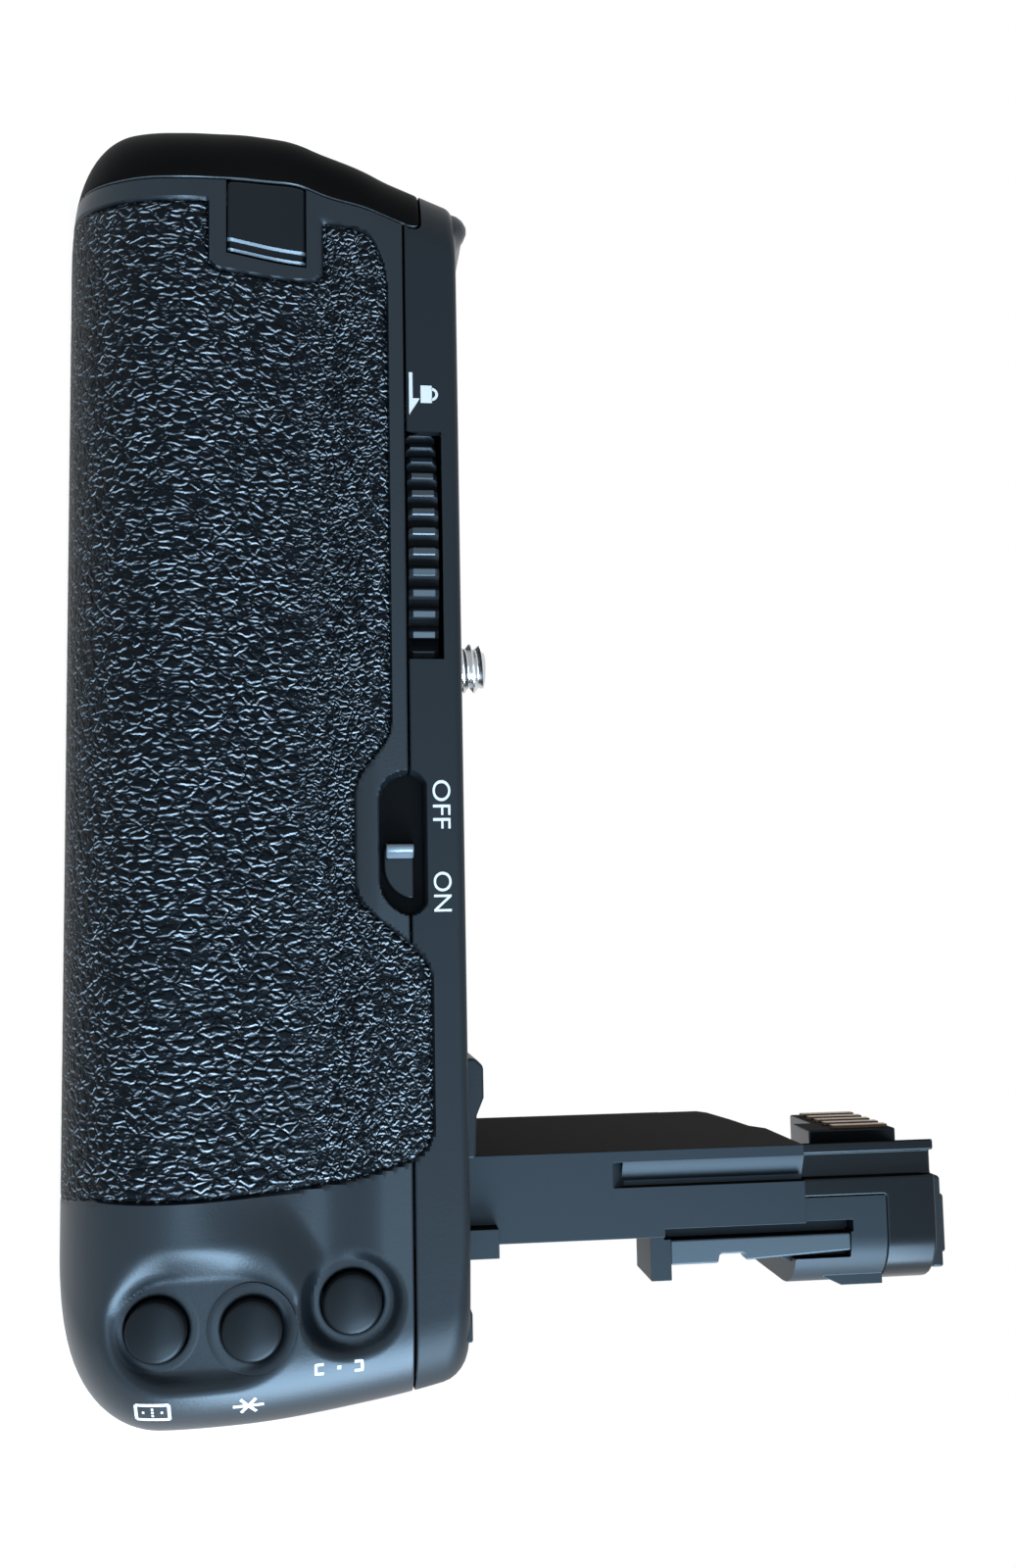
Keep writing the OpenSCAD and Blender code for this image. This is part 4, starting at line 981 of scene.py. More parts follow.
        return formed_grid("rear_shell", count + ramp + len(wall), len(rows), place)

    def floor_sheet(self, name: str, stations: Array, edge: Callable[[Array, Array], Array],
                    rows: Array) -> Piece:
        """Flat base between a face's lower edge and the split.

        Args:
            name: Name of the sheet.
            stations: Stations along X.
            edge: Gives Y of the face's lower edge.
            rows: Shares of the way from the split to that edge.

        Returns:
            The sheet.
        """
        def place(column: Array, row: Array) -> Array:
            """Points of the base."""
            zero = np.zeros(len(column))
            x = self.column_x(stations[column], zero)
            y = self.form.split_y + (edge(x, zero) - self.form.split_y) * rows[row]
            return np.stack([x, y, zero], 1)

        return formed_grid(name, len(stations), len(rows), place)

    def walled(self, parts: Sequence[Piece], name: str) -> Piece:
        """Joins sheets into a shell with the casing's wall."""
        shell = join(parts, name)
        edit(shell, merge_doubles, face_outwards)
        thicken(shell, self.wall)
        shade(shell, self.sharp_deg)
        return shell

    def rear_shell(self) -> Piece:
        """Rear casing with its bores, dial window, base and chamber."""
        sheet = self.rear_sheet()

        def opened(x: Array, y: Array, z: Array) -> Array:
            """Faces where the shell is open."""
            bores = np.zeros(len(x), bool)
            for cx, cz in self.buttons:
                bores |= (np.hypot(x - cx, z - cz) < self.bore_patch - 0.5) & (y < -20)
            end = x > 80
            y0, y1, z0, z1 = self.dial_window
            dial = end & (y > y0) & (y < y1) & (z > z0) & (z < z1)
            key = end & (np.hypot(y - self.shutter[0], z - self.shutter[1]) < self.shutter_cut)
            return bores | dial | key

        delete_faces(sheet, opened)
        floor = self.floor_sheet("rear_floor", self.rear_stations(), self.form.rear_y, np.linspace(0, 1, 61))
        half_x, half_y = self.plate
        delete_faces(floor, lambda x, y, z: (np.abs(x) < half_x) & (np.abs(y) < half_y - 0.3))
        shell = join([sheet, floor], "rear_shell")
        edit(shell, merge_doubles, face_outwards)
        thick = shell.vertex_groups.new(name="thick")
        for vertex in shell.data.vertices:
            x, y, z = vertex.co / MM
            ears = x < -45.5 and y < 0 and 16.0 < z < 29.5
            thick.add([vertex.index], 0.0 if ears else 1.0, "REPLACE")
        thicken(shell, self.wall, vertex_group=thick.name, thickness_vertex_group=0.3)
        shade(shell, self.sharp_deg)
        return shell

    def bore_rings(self) -> Piece:
        """Smooth rims and walls of the thumb buttons' bores."""
        reach = self.bore_patch - self.bore_r
        angles, rings = 97, [(0.0, 3.0), (0.0, 0.2), (0.06, 0.06), (0.2, 0.0), (0.45, -0.01), (0.7, -0.015),
                             (reach - 0.3, -0.015), (reach, 0.06)]
        parts = []
        for number, (cx, cz) in enumerate(self.buttons):
            def place(column: Array, row: Array, cx: float = cx, cz: float = cz) -> Array:
                """Points of one rim and its wall."""
                steps = np.array(rings)
                radius = self.bore_r + steps[row, 0]
                angle = column / (angles - 1) * 2 * math.pi
                x, z = cx + radius * np.cos(angle), cz + radius * np.sin(angle)
                return np.stack([x, self.housing_y(x, z) + steps[row, 1], z], 1)

            part = formed_grid(f"bore_{number}", angles, len(rings), place)
            edit(part, merge_doubles)
            parts.append(part)
        rims = join(parts, "button_bores")
        turn_along_y(rims, -1)
        thicken(rims, 0.2)
        shade(rims, 60)
        return rims

    def chamber_liner(self) -> Piece:
        """Mouth of the battery chamber, along the cap's seam, and the chamber's walls."""
        form = self.form
        far, half, low, high = self.chamber
        rows = spread(0.6, low, high, form.seam_z - 0.4, step=1.2)
        across = spread(0.0, 1.0, step=0.02)

        def mouth(column: Array, row: Array) -> Array:
            """Points of the chamber's mouth."""
            z = rows[row]
            x = form.seam_x(z) + self.seam_gap + 0.25
            rear = form.rear_y(x, z) + 0.4
            fore = np.minimum(form.split_y + 3.0, form.front_face(x, z) - 0.6)
            y = rear + (fore - rear) * across[column]
            return np.stack([x, y, z], 1)

        face = formed_grid("chamber_mouth", len(across), len(rows), mouth)
        first, last = self.features.latch_z

        def passage(x: Array, y: Array, z: Array) -> Array:
            """Faces where the mouth is open."""
            chamber = (np.abs(y) < half) & (z > low) & (z < high)
            return chamber | ((z > first - 2.2) & (z < last + 2.2) & (y < -half))

        delete_faces(face, passage)
        ring = [(-half, low), (half, low), (half, high), (-half, high), (-half, low)]

        def tunnel(column: Array, row: Array) -> Array:
            """Points of the chamber's walls."""
            corner = np.array(ring)[column]
            near = form.seam_x(corner[:, 1]) + self.seam_gap
            x = np.where(row == 0, near, far)
            return np.stack([x, corner[:, 0], corner[:, 1]], 1)

        walls = formed_grid("chamber_walls", len(ring), 2, tunnel)
        liner = join([face, walls], "chamber_liner")
        edit(liner, merge_doubles, face_outwards)
        thicken(liner, self.thin, 0.0)
        shade(liner)
        return liner

    # Front shell

    def front_rows(self) -> Array:
        """Heights of the front shell's rows."""
        arc = self.form.grip_r * (1 - np.cos(np.radians(np.arange(0, 61, 5))))
        top = self.form.seam_z - self.seam_gap
        rounding = top - self.seam_round * (1 - np.sin(np.radians([30, 60, 90])))
        return np.concatenate([arc[:-1], spread(float(arc[-1]), top - self.seam_round, step=0.8), rounding])

    def front_stations(self) -> Array:
        """Stations along the front face, from the cap's seam to the button end."""
        form = self.form
        start = -form.end_left + form.cap_depth + self.seam_gap
        inner = spread(start, form.grip_x, form.grip_x + form.grip_flank,
                       form.end_right - form.front_side_r, step=0.7)
        return np.concatenate([inner[:-1], self.end_stations(form.front_side_r)])

    def front_skin_gap(self, x: Array, z: Array) -> Array:
        """Distance to the front leatherette's edge, negative inside."""
        x0, x1, z0, z1 = self.front_skin
        corner = 4.0
        dx = np.abs(x - (x0 + x1) / 2) - (x1 - x0) / 2 + corner
        dz = np.abs(z - (z0 + z1) / 2) - (z1 - z0) / 2 + corner
        return np.hypot(np.maximum(dx, 0), np.maximum(dz, 0)) + np.minimum(np.maximum(dx, dz), 0) - corner

    def wall_x(self, y: Array, z: Array) -> Array:
        """X of the button end at a depth, rounded towards the hand grip's front."""
        form = self.form
        front = form.grip_y - form.rounding(np.asarray(z, float), form.grip_r)
        return form.right_x(z) - form.rounding(front - y, form.front_side_r)

    def front_shell(self) -> Piece:
        """Front casing with the hand grip, its part of the button end and of the base."""
        form = self.form
        stations, rows = self.front_stations(), self.front_rows()
        count, wall = len(stations), 10

        def place(column: Array, row: Array) -> Array:
            """Points of the front face and the end wall."""
            z = rows[row]
            x = self.column_x(stations[np.minimum(column, count - 1)], z)
            fall = self.seam_fall(z, form.seam_z - self.seam_gap)
            seat = smooth_step(-self.front_skin_gap(x, z), -0.12, 0.5)
            y = form.front_face(x, z) - fall - self.features.skin_seat * seat
            end = form.front_face(form.right_x(z), z)
            share = np.clip(column - count + 1, 0, wall) / wall
            y = np.where(column >= count, end + (form.split_y - end) * share, y)
            y = np.maximum(y, form.split_y)
            return np.stack([np.minimum(x, self.wall_x(y, z)), y, z], 1)

        sheet = formed_grid("front_shell", count + wall, len(rows), place)

        def edge(x: Array, z: Array) -> Array:
            """Y of the base's front edge."""
            return np.maximum(form.front_face(x, z), form.split_y)

        floor = self.floor_sheet("front_floor", stations, edge, np.linspace(0, 1, 12))
        return self.walled([sheet, floor], "front_shell")

    # Platform

    def top_round(self, x: Array) -> Array:
        """Radius of the platform's edge, larger at the button end."""
        return self.form.edge_r + self.top_rounder * smooth_step(x, 66.0, 84.0)

    def cover_stations(self, radius: float) -> Array:
        """Stations along the platform, from the magazine end to the button end."""
        left = -self.form.end_left
        seam = left + self.form.cap_depth - self.form.cap_tuck + self.seam_gap
        angles = np.radians(np.arange(90, -1, -7.5))
        turnings = left + radius * (1 - np.sin(angles))
        near = np.unique(np.concatenate([turnings[turnings < seam - 0.1], [seam]]))
        first, last = self.wheel_window[0], self.wheel_window[1]
        inner = [spread(seam, -45.0, first - self.crease, first, last, last + self.crease, 16.2, step=0.5),
                 spread(16.2, 33.0, step=0.17), spread(33.0, self.form.end_right - radius, step=0.5)]
        return np.concatenate([near[:-1]] + [part[:-1] for part in inner] + [self.end_stations(radius)])

    def cover_x(self, station: Array, z: Array) -> Array:
        """X of a station of the platform at a height."""
        share = np.clip((-41.0 - station) / (self.form.end_left - 41.0), 0, 1)
        lean = (self.form.left_x(z) + self.form.end_left) * np.minimum(share * 1.6, 1.0)
        return station + lean + self.shift_right(station, z)

    def cover_levels(self) -> Array:
        """Rows of the platform's rim: height below the rounding, then the rounding's angle."""
        low = self.form.seam_z + self.seam_gap
        rounding = low + self.seam_round * np.array([0.0, 0.15, 0.5, 1.0])
        cap = self.form.cap_top + self.seam_gap
        straight = spread(cap, self.wheel_window[2], self.form.body_h - self.form.edge_r, step=0.36)
        return np.concatenate([rounding[:-1], spread(float(rounding[-1]), cap, step=0.18)[:-1], straight])

    def cover_rim(self) -> tuple[int, Callable[[Array, Array | float], tuple[Array, Array]]]:
        """Number of the rim's rows, and what gives a row's height and inset at a top radius."""
        form, levels = self.form, self.cover_levels()
        angles = np.radians(np.arange(15, 91, 15))
        low, count = form.seam_z + self.seam_gap, len(levels)

        def rim(row: Array, round_r: Array | float) -> tuple[Array, Array]:
            """Height and inset of a row."""
            squeeze = (form.body_h - round_r - low) / (form.body_h - form.edge_r - low)
            z = low + (levels[np.minimum(row, count - 1)] - low) * squeeze
            angle = np.where(row < count, 0.0, angles[np.clip(row - count, 0, len(angles) - 1)])
            z = z + np.where(row < count, 0.0, round_r * np.sin(angle))
            return z, np.where(row < count, self.seam_fall(z, low), round_r * (1 - np.cos(angle)))

        return count + len(angles), rim

    def end_turn(self, x: Array, z: Array, radius: float) -> tuple[Array, Array]:
        """How far the rounded ends turn a face along X, and what is left of it along Y."""
        left = np.clip(1 - (x - self.form.left_x(z)) / radius, 0, 1)
        right = np.clip(1 - (self.form.right_x(z) - x) / radius, 0, 1)
        return left - right, np.sqrt(np.clip(1 - left**2 - right**2, 0, 1))

    def cover_side(self, name: str, stations: Array, radius: float, rear: bool) -> Piece:
        """Rear or front rim of the platform with its rounded top edge.

        Args:
            name: Name of the sheet.
            stations: Stations along X.
            radius: Radius of the body's end roundings on that side.
            rear: Whether this is the rear side.

        Returns:
            The sheet.
        """
        rows, rim = self.cover_rim()

        def place(column: Array, row: Array) -> Array:
            """Points of the rim and its rounding."""
            station = stations[column]
            z, inset = rim(row, self.top_round(station))
            x = self.cover_x(station, z)
            y = self.housing_y(x, z) if rear else self.form.front_face(x, z)
            lean, facing = self.end_turn(x, z, radius)
            y = y + (facing if rear else -facing) * inset
            return np.stack([x + lean * inset, y, z], 1)

        return formed_grid(name, len(stations), rows, place)

    def cover_end(self, name: str, left: bool) -> Piece:
        """Wall of the platform at one end, between the rear and the front rounding."""
        form = self.form
        (rows, rim), across = self.cover_rim(), 24
        end = np.array([-form.end_left if left else form.end_right])
        round_r = float(self.top_round(end)[0])

        def place(column: Array, row: Array) -> Array:
            """Points of the end wall and its rounding."""
            z, inset = rim(row, round_r)
            x = form.left_x(z) if left else form.right_x(z)
            rear, front = form.rear_y(x, z), form.front_face(x, z)
            y = rear + (front - rear) * column / across
            return np.stack([x + (inset if left else -inset), y, z], 1)

        return formed_grid(name, across + 1, rows, place)

    def platform_top(self, stations: Array) -> Piece:
        """Flat top of the platform with the arm's hole and the stud's."""
        height = self.form.body_h
        x0, x1, y0, y1 = self.arm_hole
        level = np.full(len(stations), height)
        x = self.cover_x(stations, level)
        inset = self.top_round(stations)
        _, facing = self.end_turn(x, level, self.form.side_r)
        rear = self.form.rear_y(x, level) + facing * inset
        lean, facing = self.end_turn(x, level, self.form.front_side_r)
        front = self.form.front_face(x, level) - facing * inset
        x = x + lean * inset
        columns = np.unique(np.concatenate([x, [x0, x1]]))
        rear, front = np.interp(columns, x, rear), np.interp(columns, x, front)
        across = spread(-32.0, y0, -5.5, 5.5, y1, 44.0, step=1.0)

        def place(column: Array, row: Array) -> Array:
            """Points of the flat top."""
            y = np.clip(across[row], rear[column], front[column])
            return np.stack([columns[column], y, np.full(len(column), height)], 1)

        top = formed_grid("platform_top", len(columns), len(across), place)
        delete_faces(top, lambda x, y, z: (x > x0) & (x < x1) & (y > y0) & (y < y1) | (np.hypot(x, y) < 5.0))
        return top

    def cover_shell(self) -> Piece:
        """Platform with its rim, the wheel's window and its round and lipped ends."""
        form = self.form
        rear_stations = self.cover_stations(form.side_r)
        front_stations = self.cover_stations(form.front_side_r)
        rear = self.cover_side("cover_rear", rear_stations, form.side_r, True)
        front = self.cover_side("cover_front", front_stations, form.front_side_r, False)
        first, last, top = self.wheel_window
        seam = form.cap_depth - form.cap_tuck + self.seam_gap
        cap = form.cap_top + self.seam_gap

        def beside_cap(x: Array, y: Array, z: Array) -> Array:
            """Faces that give way to the end cap."""
            return (x - form.left_x(z) < seam) & (z < cap)

        def open_rear(x: Array, y: Array, z: Array) -> Array:
            """Faces that give way to the wheel's window or the end cap."""
            return (x > first) & (x < last) & (z < top) | beside_cap(x, y, z)

        delete_faces(rear, open_rear)
        delete_faces(front, beside_cap)
        left, right = self.cover_end("cover_left", True), self.cover_end("cover_right", False)
        delete_faces(left, lambda x, y, z: z < cap)
        return self.walled([rear, front, left, right, self.platform_top(rear_stations)], "platform_shell")

    def platform_trims(self) -> Piece:
        """Lip at the magazine end, door keeper beside the arm, lug and the stud's rim."""
        end, top = float(self.form.left_x(np.array(44.0))), self.form.body_h
        keeper = [(48.1, top - 1.0), (48.1, top + 1.0), (49.0, top + 1.9), (52.4, top + 1.9), (54.3, top + 1.1),
                  (58.9, top + 0.9), (58.9, top - 1.0)]
        rim = [(4.1, -1.0), (4.1, -0.12), (4.22, 0.0), (4.9, 0.02), (7.2, 0.0), (7.2, -1.0), (4.1, -1.0)]
        parts = [self.lip(end, top),
                 prism("keeper", keeper, "XZ", -27.0, -13.0, 0.35, 3),
                 box("lug", (75.0, -27.2, top - 1.0), (78.2, -22.0, top + 0.3), 0.25),
                 lathe("stud_rim", rim, (0, 0, top), (0, 0, 1)), self.cover_fillet(True), self.cover_fillet(False)]
        return join(parts, "platform_trims")

    def lip(self, end: float, top: float) -> Piece:
        """Lip along the magazine end that turns round the rear corner and runs out there.

        Args:
            end: X of the platform's end.
            top: Height of the platform.

        Returns:
            The lip, closed all round.
        """
        profile = np.array([(0.5, -0.9), (0.35, -0.2), (0.55, 0.5), (0.95, 1.1), (1.5, 1.5), (2.1, 1.55), (2.8, 1.3),
                            (3.7, 0.75), (4.8, 0.25), (6.2, -0.05), (6.2, -0.9), (0.5, -0.9)])
        straight, turned = np.linspace(16.0, -21.0, 20), np.radians(np.arange(4, 85, 4))
        radius = self.form.side_r

        def place(column: Array, row: Array) -> Array:
            """Points of the lip's profile along its path."""
            inset, rise = profile[row, 0], profile[row, 1]
            angle = np.where(column < len(straight), 0.0, turned[np.clip(column - len(straight), 0, len(turned) - 1)])
            along = straight[np.minimum(column, len(straight) - 1)]
            run_out = smooth_step(-angle, -1.4, -0.75) * smooth_step(-along, -16.0, -13.0)
            z = top - 0.3 + (rise + 0.3) * np.where(rise > -0.3, run_out, 1.0)
            reach = radius - inset
            x = end + radius - reach * np.cos(angle)
            return np.stack([x, along - reach * np.sin(angle), z], 1)

        lip = formed_grid("lip", len(straight) + len(turned), len(profile), place)
        edit(lip, merge_doubles, lambda: bpy.ops.mesh.fill_holes(sides=0), face_outwards)
        shade(lip, 50)
        return lip

    def cover_fillet(self, rear: bool) -> Piece:
        """Rounded corner of the platform's rim beside the end cap, behind or in front."""
        round_r, gap = self.form.cap_corner, self.seam_gap
        top = self.form.cap_top + gap
        angles = np.radians(np.linspace(0, 90, 10))

        def place(column: Array, row: Array) -> Array:
            """Points of the corner's face."""
            share, angle = column / 4, angles[row]
            arc_z = top - round_r + round_r * np.sin(angle)
            arc_x = -round_r + round_r * np.cos(angle)
            out_z = np.where(np.sin(angle) > np.cos(angle), top + 0.05, top - round_r + round_r * np.tan(angle))
            out_x = np.where(np.sin(angle) > np.cos(angle), -round_r + round_r / np.tan(np.maximum(angle, 0.1)), 0.05)
            z = arc_z + (out_z - arc_z) * share
            x = self.form.seam_x(z) + gap + arc_x + (out_x - arc_x) * share
            return np.stack([x, self.form.rear_y(x, z) if rear else self.form.front_face(x, z), z], 1)

        fillet = formed_grid("cover_fillet", 5, len(angles), place)
        turn_along_y(fillet, -1 if rear else 1)
        thicken(fillet, self.wall)
        shade(fillet)
        return fillet

    # End cap

    def end_cap(self) -> Piece:
        """End cap of the magazine as a closed solid."""
        form = self.form
        depth = form.cap_depth - self.seam_gap
        top = form.cap_top - self.seam_gap
        arc = form.end_r * (1 - np.cos(np.radians(np.arange(0, 61, 5))))
        rows = np.concatenate([arc[:-1], spread(float(arc[-1]), top - self.cap_round, step=0.5),
                               top - self.cap_round * (1 - np.sin(np.radians([22.5, 45, 67.5, 90])))])

        def offsets(radius: float) -> Array:
            """Distances from the end over its rounding, up to the seam."""
            angles = np.radians(np.arange(90, -1, -6))
            turning = radius * (1 - np.sin(angles))
            seam = depth - self.cap_seam_round * (1 - np.sin(np.radians([0, 30, 60, 90])))
            return np.concatenate([turning[turning < depth - 0.4], seam])

        back, fore, across = offsets(form.side_r), offsets(form.front_side_r), 30
        hollow = np.array([7.0, 5.0, 4.9] + [0.3 * k for k in range(15, 0, -1)])
        ring_y = len(back) + across - 1
        total = ring_y + len(fore) + len(hollow)
        latch = Latch(form)

        def place(column: Array, row: Array) -> Array:
            """Points round the cap at each height."""
            column, z = column % total, rows[row]
            fall = form.rounding(top - z, self.cap_round)
            left = form.left_x(z)
            behind = column < len(back)
            before = column >= ring_y
            corner = np.clip(1 - (top - z) / form.cap_corner, 0, 1)
            reach = form.seam_x(z) - left - form.cap_corner * (1 - np.sqrt(1 - corner**2))
            scale = (reach - self.seam_gap) / depth
            rear_off = back[::-1][np.clip(column, 0, len(back) - 1)]
            front_off = fore[np.clip(column - ring_y, 0, len(fore) - 1)]
            rear_fall = form.rounding(depth - rear_off, self.cap_seam_round)
            front_fall = form.rounding(depth - front_off, self.cap_seam_round)
            rear_off, front_off = rear_off * scale, front_off * scale
            rear, front = form.rear_y(left, z), form.front_face(left, z)
            share = np.clip(column - len(back) + 1, 0, across) / across
            y = rear + (front - rear) * share
            y = np.where(behind, form.rear_y(left + rear_off, z) + fall + rear_fall, y)
            y = np.where(before, form.front_face(left + front_off, z) - fall - front_fall, y)
            x = left + np.where(behind, rear_off, np.where(before, front_off, 0.0))
            x = x + np.where(behind | before, 0.0, fall)
            inward = column - ring_y - len(fore)
            edge = left + depth * scale
            deep = form.rear_y(edge, z) + fall + self.cap_seam_round + hollow[np.clip(inward, 0, len(hollow) - 1)]
            x, y = np.where(inward >= 0, edge, x), np.where(inward >= 0, deep, y)
            near = (inward > 0) | (column < 4)
            x = np.where(near, np.minimum(x, latch.swept(y, z)), x)
            return np.stack([x, y, z], 1)

        cap = formed_grid("end_cap", total + 1, len(rows), place)
        edit(cap, merge_doubles, lambda: bpy.ops.mesh.fill_holes(sides=0), lambda: bpy.ops.mesh.quads_convert_to_tris(),
             face_outwards)
        shade(cap, self.sharp_deg)
        return cap

    # Leatherette

    def skin_roll(self, x: Array, z: Array, gap: Array) -> Array:
        """How deep a leatherette lies: rolled in along its edge, and creased.

        Args:
            x: Places along X.
            z: Places along Z.
            gap: Distance to its edge there, negative inside.

        Returns:
            Depths below its plain face.
        """
        roll = self.roll_in * (1 - smooth_step(-gap, 0.0, 0.75)) + self.roll_under * smooth_step(gap, -0.05, 0.5)
        return roll + self.crease_depth * (1 - crackle(x / self.crease_cell[0], z / self.crease_cell[1]))

    def skin_piece(self, skin: Piece, gap_at: Callable[[Array, Array], Array], sign: int) -> Piece:
        """Trims a leatherette to its edge and gives it its thickness.

        Args:
            skin: The sheet.
            gap_at: Gives the distance to its edge.
            sign: Way along Y that it faces.

        Returns:
            The same sheet.
        """
        delete_faces(skin, lambda x, y, z: gap_at(x, z) > 0.45)
        turn_along_y(skin, sign)
        thicken(skin, self.skin_wall)
        shade(skin, 60)
        return skin

    def rear_skin(self) -> Piece:
        """Rear leatherette, rolled down into its seat along its edge."""
        low = -self.form.end_left + self.form.cap_depth + self.form.skin_margin - 0.8
        stations = spread(low, -41.0, 64.0, step=0.33)
        arc = self.form.swell_h * (1 - np.cos(np.radians(np.arange(0, 60, 3))))
        rows = np.concatenate([arc, spread(6.6, 40.9, step=0.33)])

        def place(column: Array, row: Array) -> Array:
            """Points of the rolled and creased sheet."""
            z = rows[row]
            x = self.column_x(stations[column], z)
            roll = self.skin_roll(x, z, self.skin_gap_at(x, z))
            return np.stack([x, self.form.rear_y(x, z) + self.skin_sink + roll, z], 1)

        skin = formed_grid("rear_leatherette", len(stations), len(rows), place)
        return self.skin_piece(skin, self.skin_gap_at, -1)

    def front_leather(self) -> Piece:
        """Front leatherette on the hand grip."""
        x0, x1, z0, z1 = self.front_skin
        stations, rows = spread(x0 - 0.5, x1 + 0.5, step=0.5), spread(z0 - 0.5, z1 + 0.5, step=0.5)

        def place(column: Array, row: Array) -> Array:
            """Points of the rolled and creased sheet."""
            x, z = stations[column], rows[row]
            roll = self.skin_roll(x, z, self.front_skin_gap(x, z))
            return np.stack([x, self.form.front_face(x, z) - self.skin_sink - roll, z], 1)

        skin = formed_grid("front_leatherette", len(stations), len(rows), place)
        return self.skin_piece(skin, self.front_skin_gap, 1)

    def build(self) -> None:
        """Builds and dresses every shell."""
        dress(self.rear_shell(), Body.GRIP, "casing", replaces=["main_housing"])
        dress(self.bore_rings(), Body.GRIP, "casing")
        dress(self.chamber_liner(), Body.GRIP, "casing")
        dress(self.front_shell(), Body.GRIP, "casing", replaces=["front_housing"])
        dress(self.cover_shell(), Body.GRIP, "platform", replaces=["top_cover"])
        dress(self.platform_trims(), Body.GRIP, "platform")
        cap = self.end_cap()
        dress(cap, Body.MAGAZINE, "casing", CAP, ["magazine_cap"])
        # Painted highlight on the cap's seam faces that face the light.
        second_finish(cap, CAP_EDGE_HIGHLIGHT, lambda face: face.normal.x > 0.4 and face.normal.y < -0.2)
        dress(self.rear_skin(), Body.GRIP, "leatherette", replaces=["rear_grip_cover"])
        dress(self.front_leather(), Body.GRIP, "leatherette", replaces=["front_grip_cover"])


# Controls


def bisect(obj: Piece, point: Sequence[float], outwards: Sequence[float]) -> None:
    """Cuts away what lies on the outer side of a plane and closes the cut.

    Args:
        obj: The piece.
        point: A point of the plane.
        outwards: Direction of the side that is cut away.
    """
    co = [value * MM for value in point]
    edit(obj, lambda: bpy.ops.mesh.bisect(plane_co=co, plane_no=outwards, use_fill=True, clear_outer=True),
         face_outwards)


def second_finish(obj: Piece, finish: Finish, test: Callable[[bpy.types.MeshPolygon], bool]) -> None:
    """Gives the faces that pass a test another finish."""
    obj.data.materials.append(finish.material())
    last = len(obj.data.materials) - 1
    for face in obj.data.polygons:
        if test(face):
            face.material_index = last


@dataclass(frozen=True)
class Thumb:
    """One domed thumb button."""

    node: str
    body: Body
    x: float
    z: float
    top_y: float


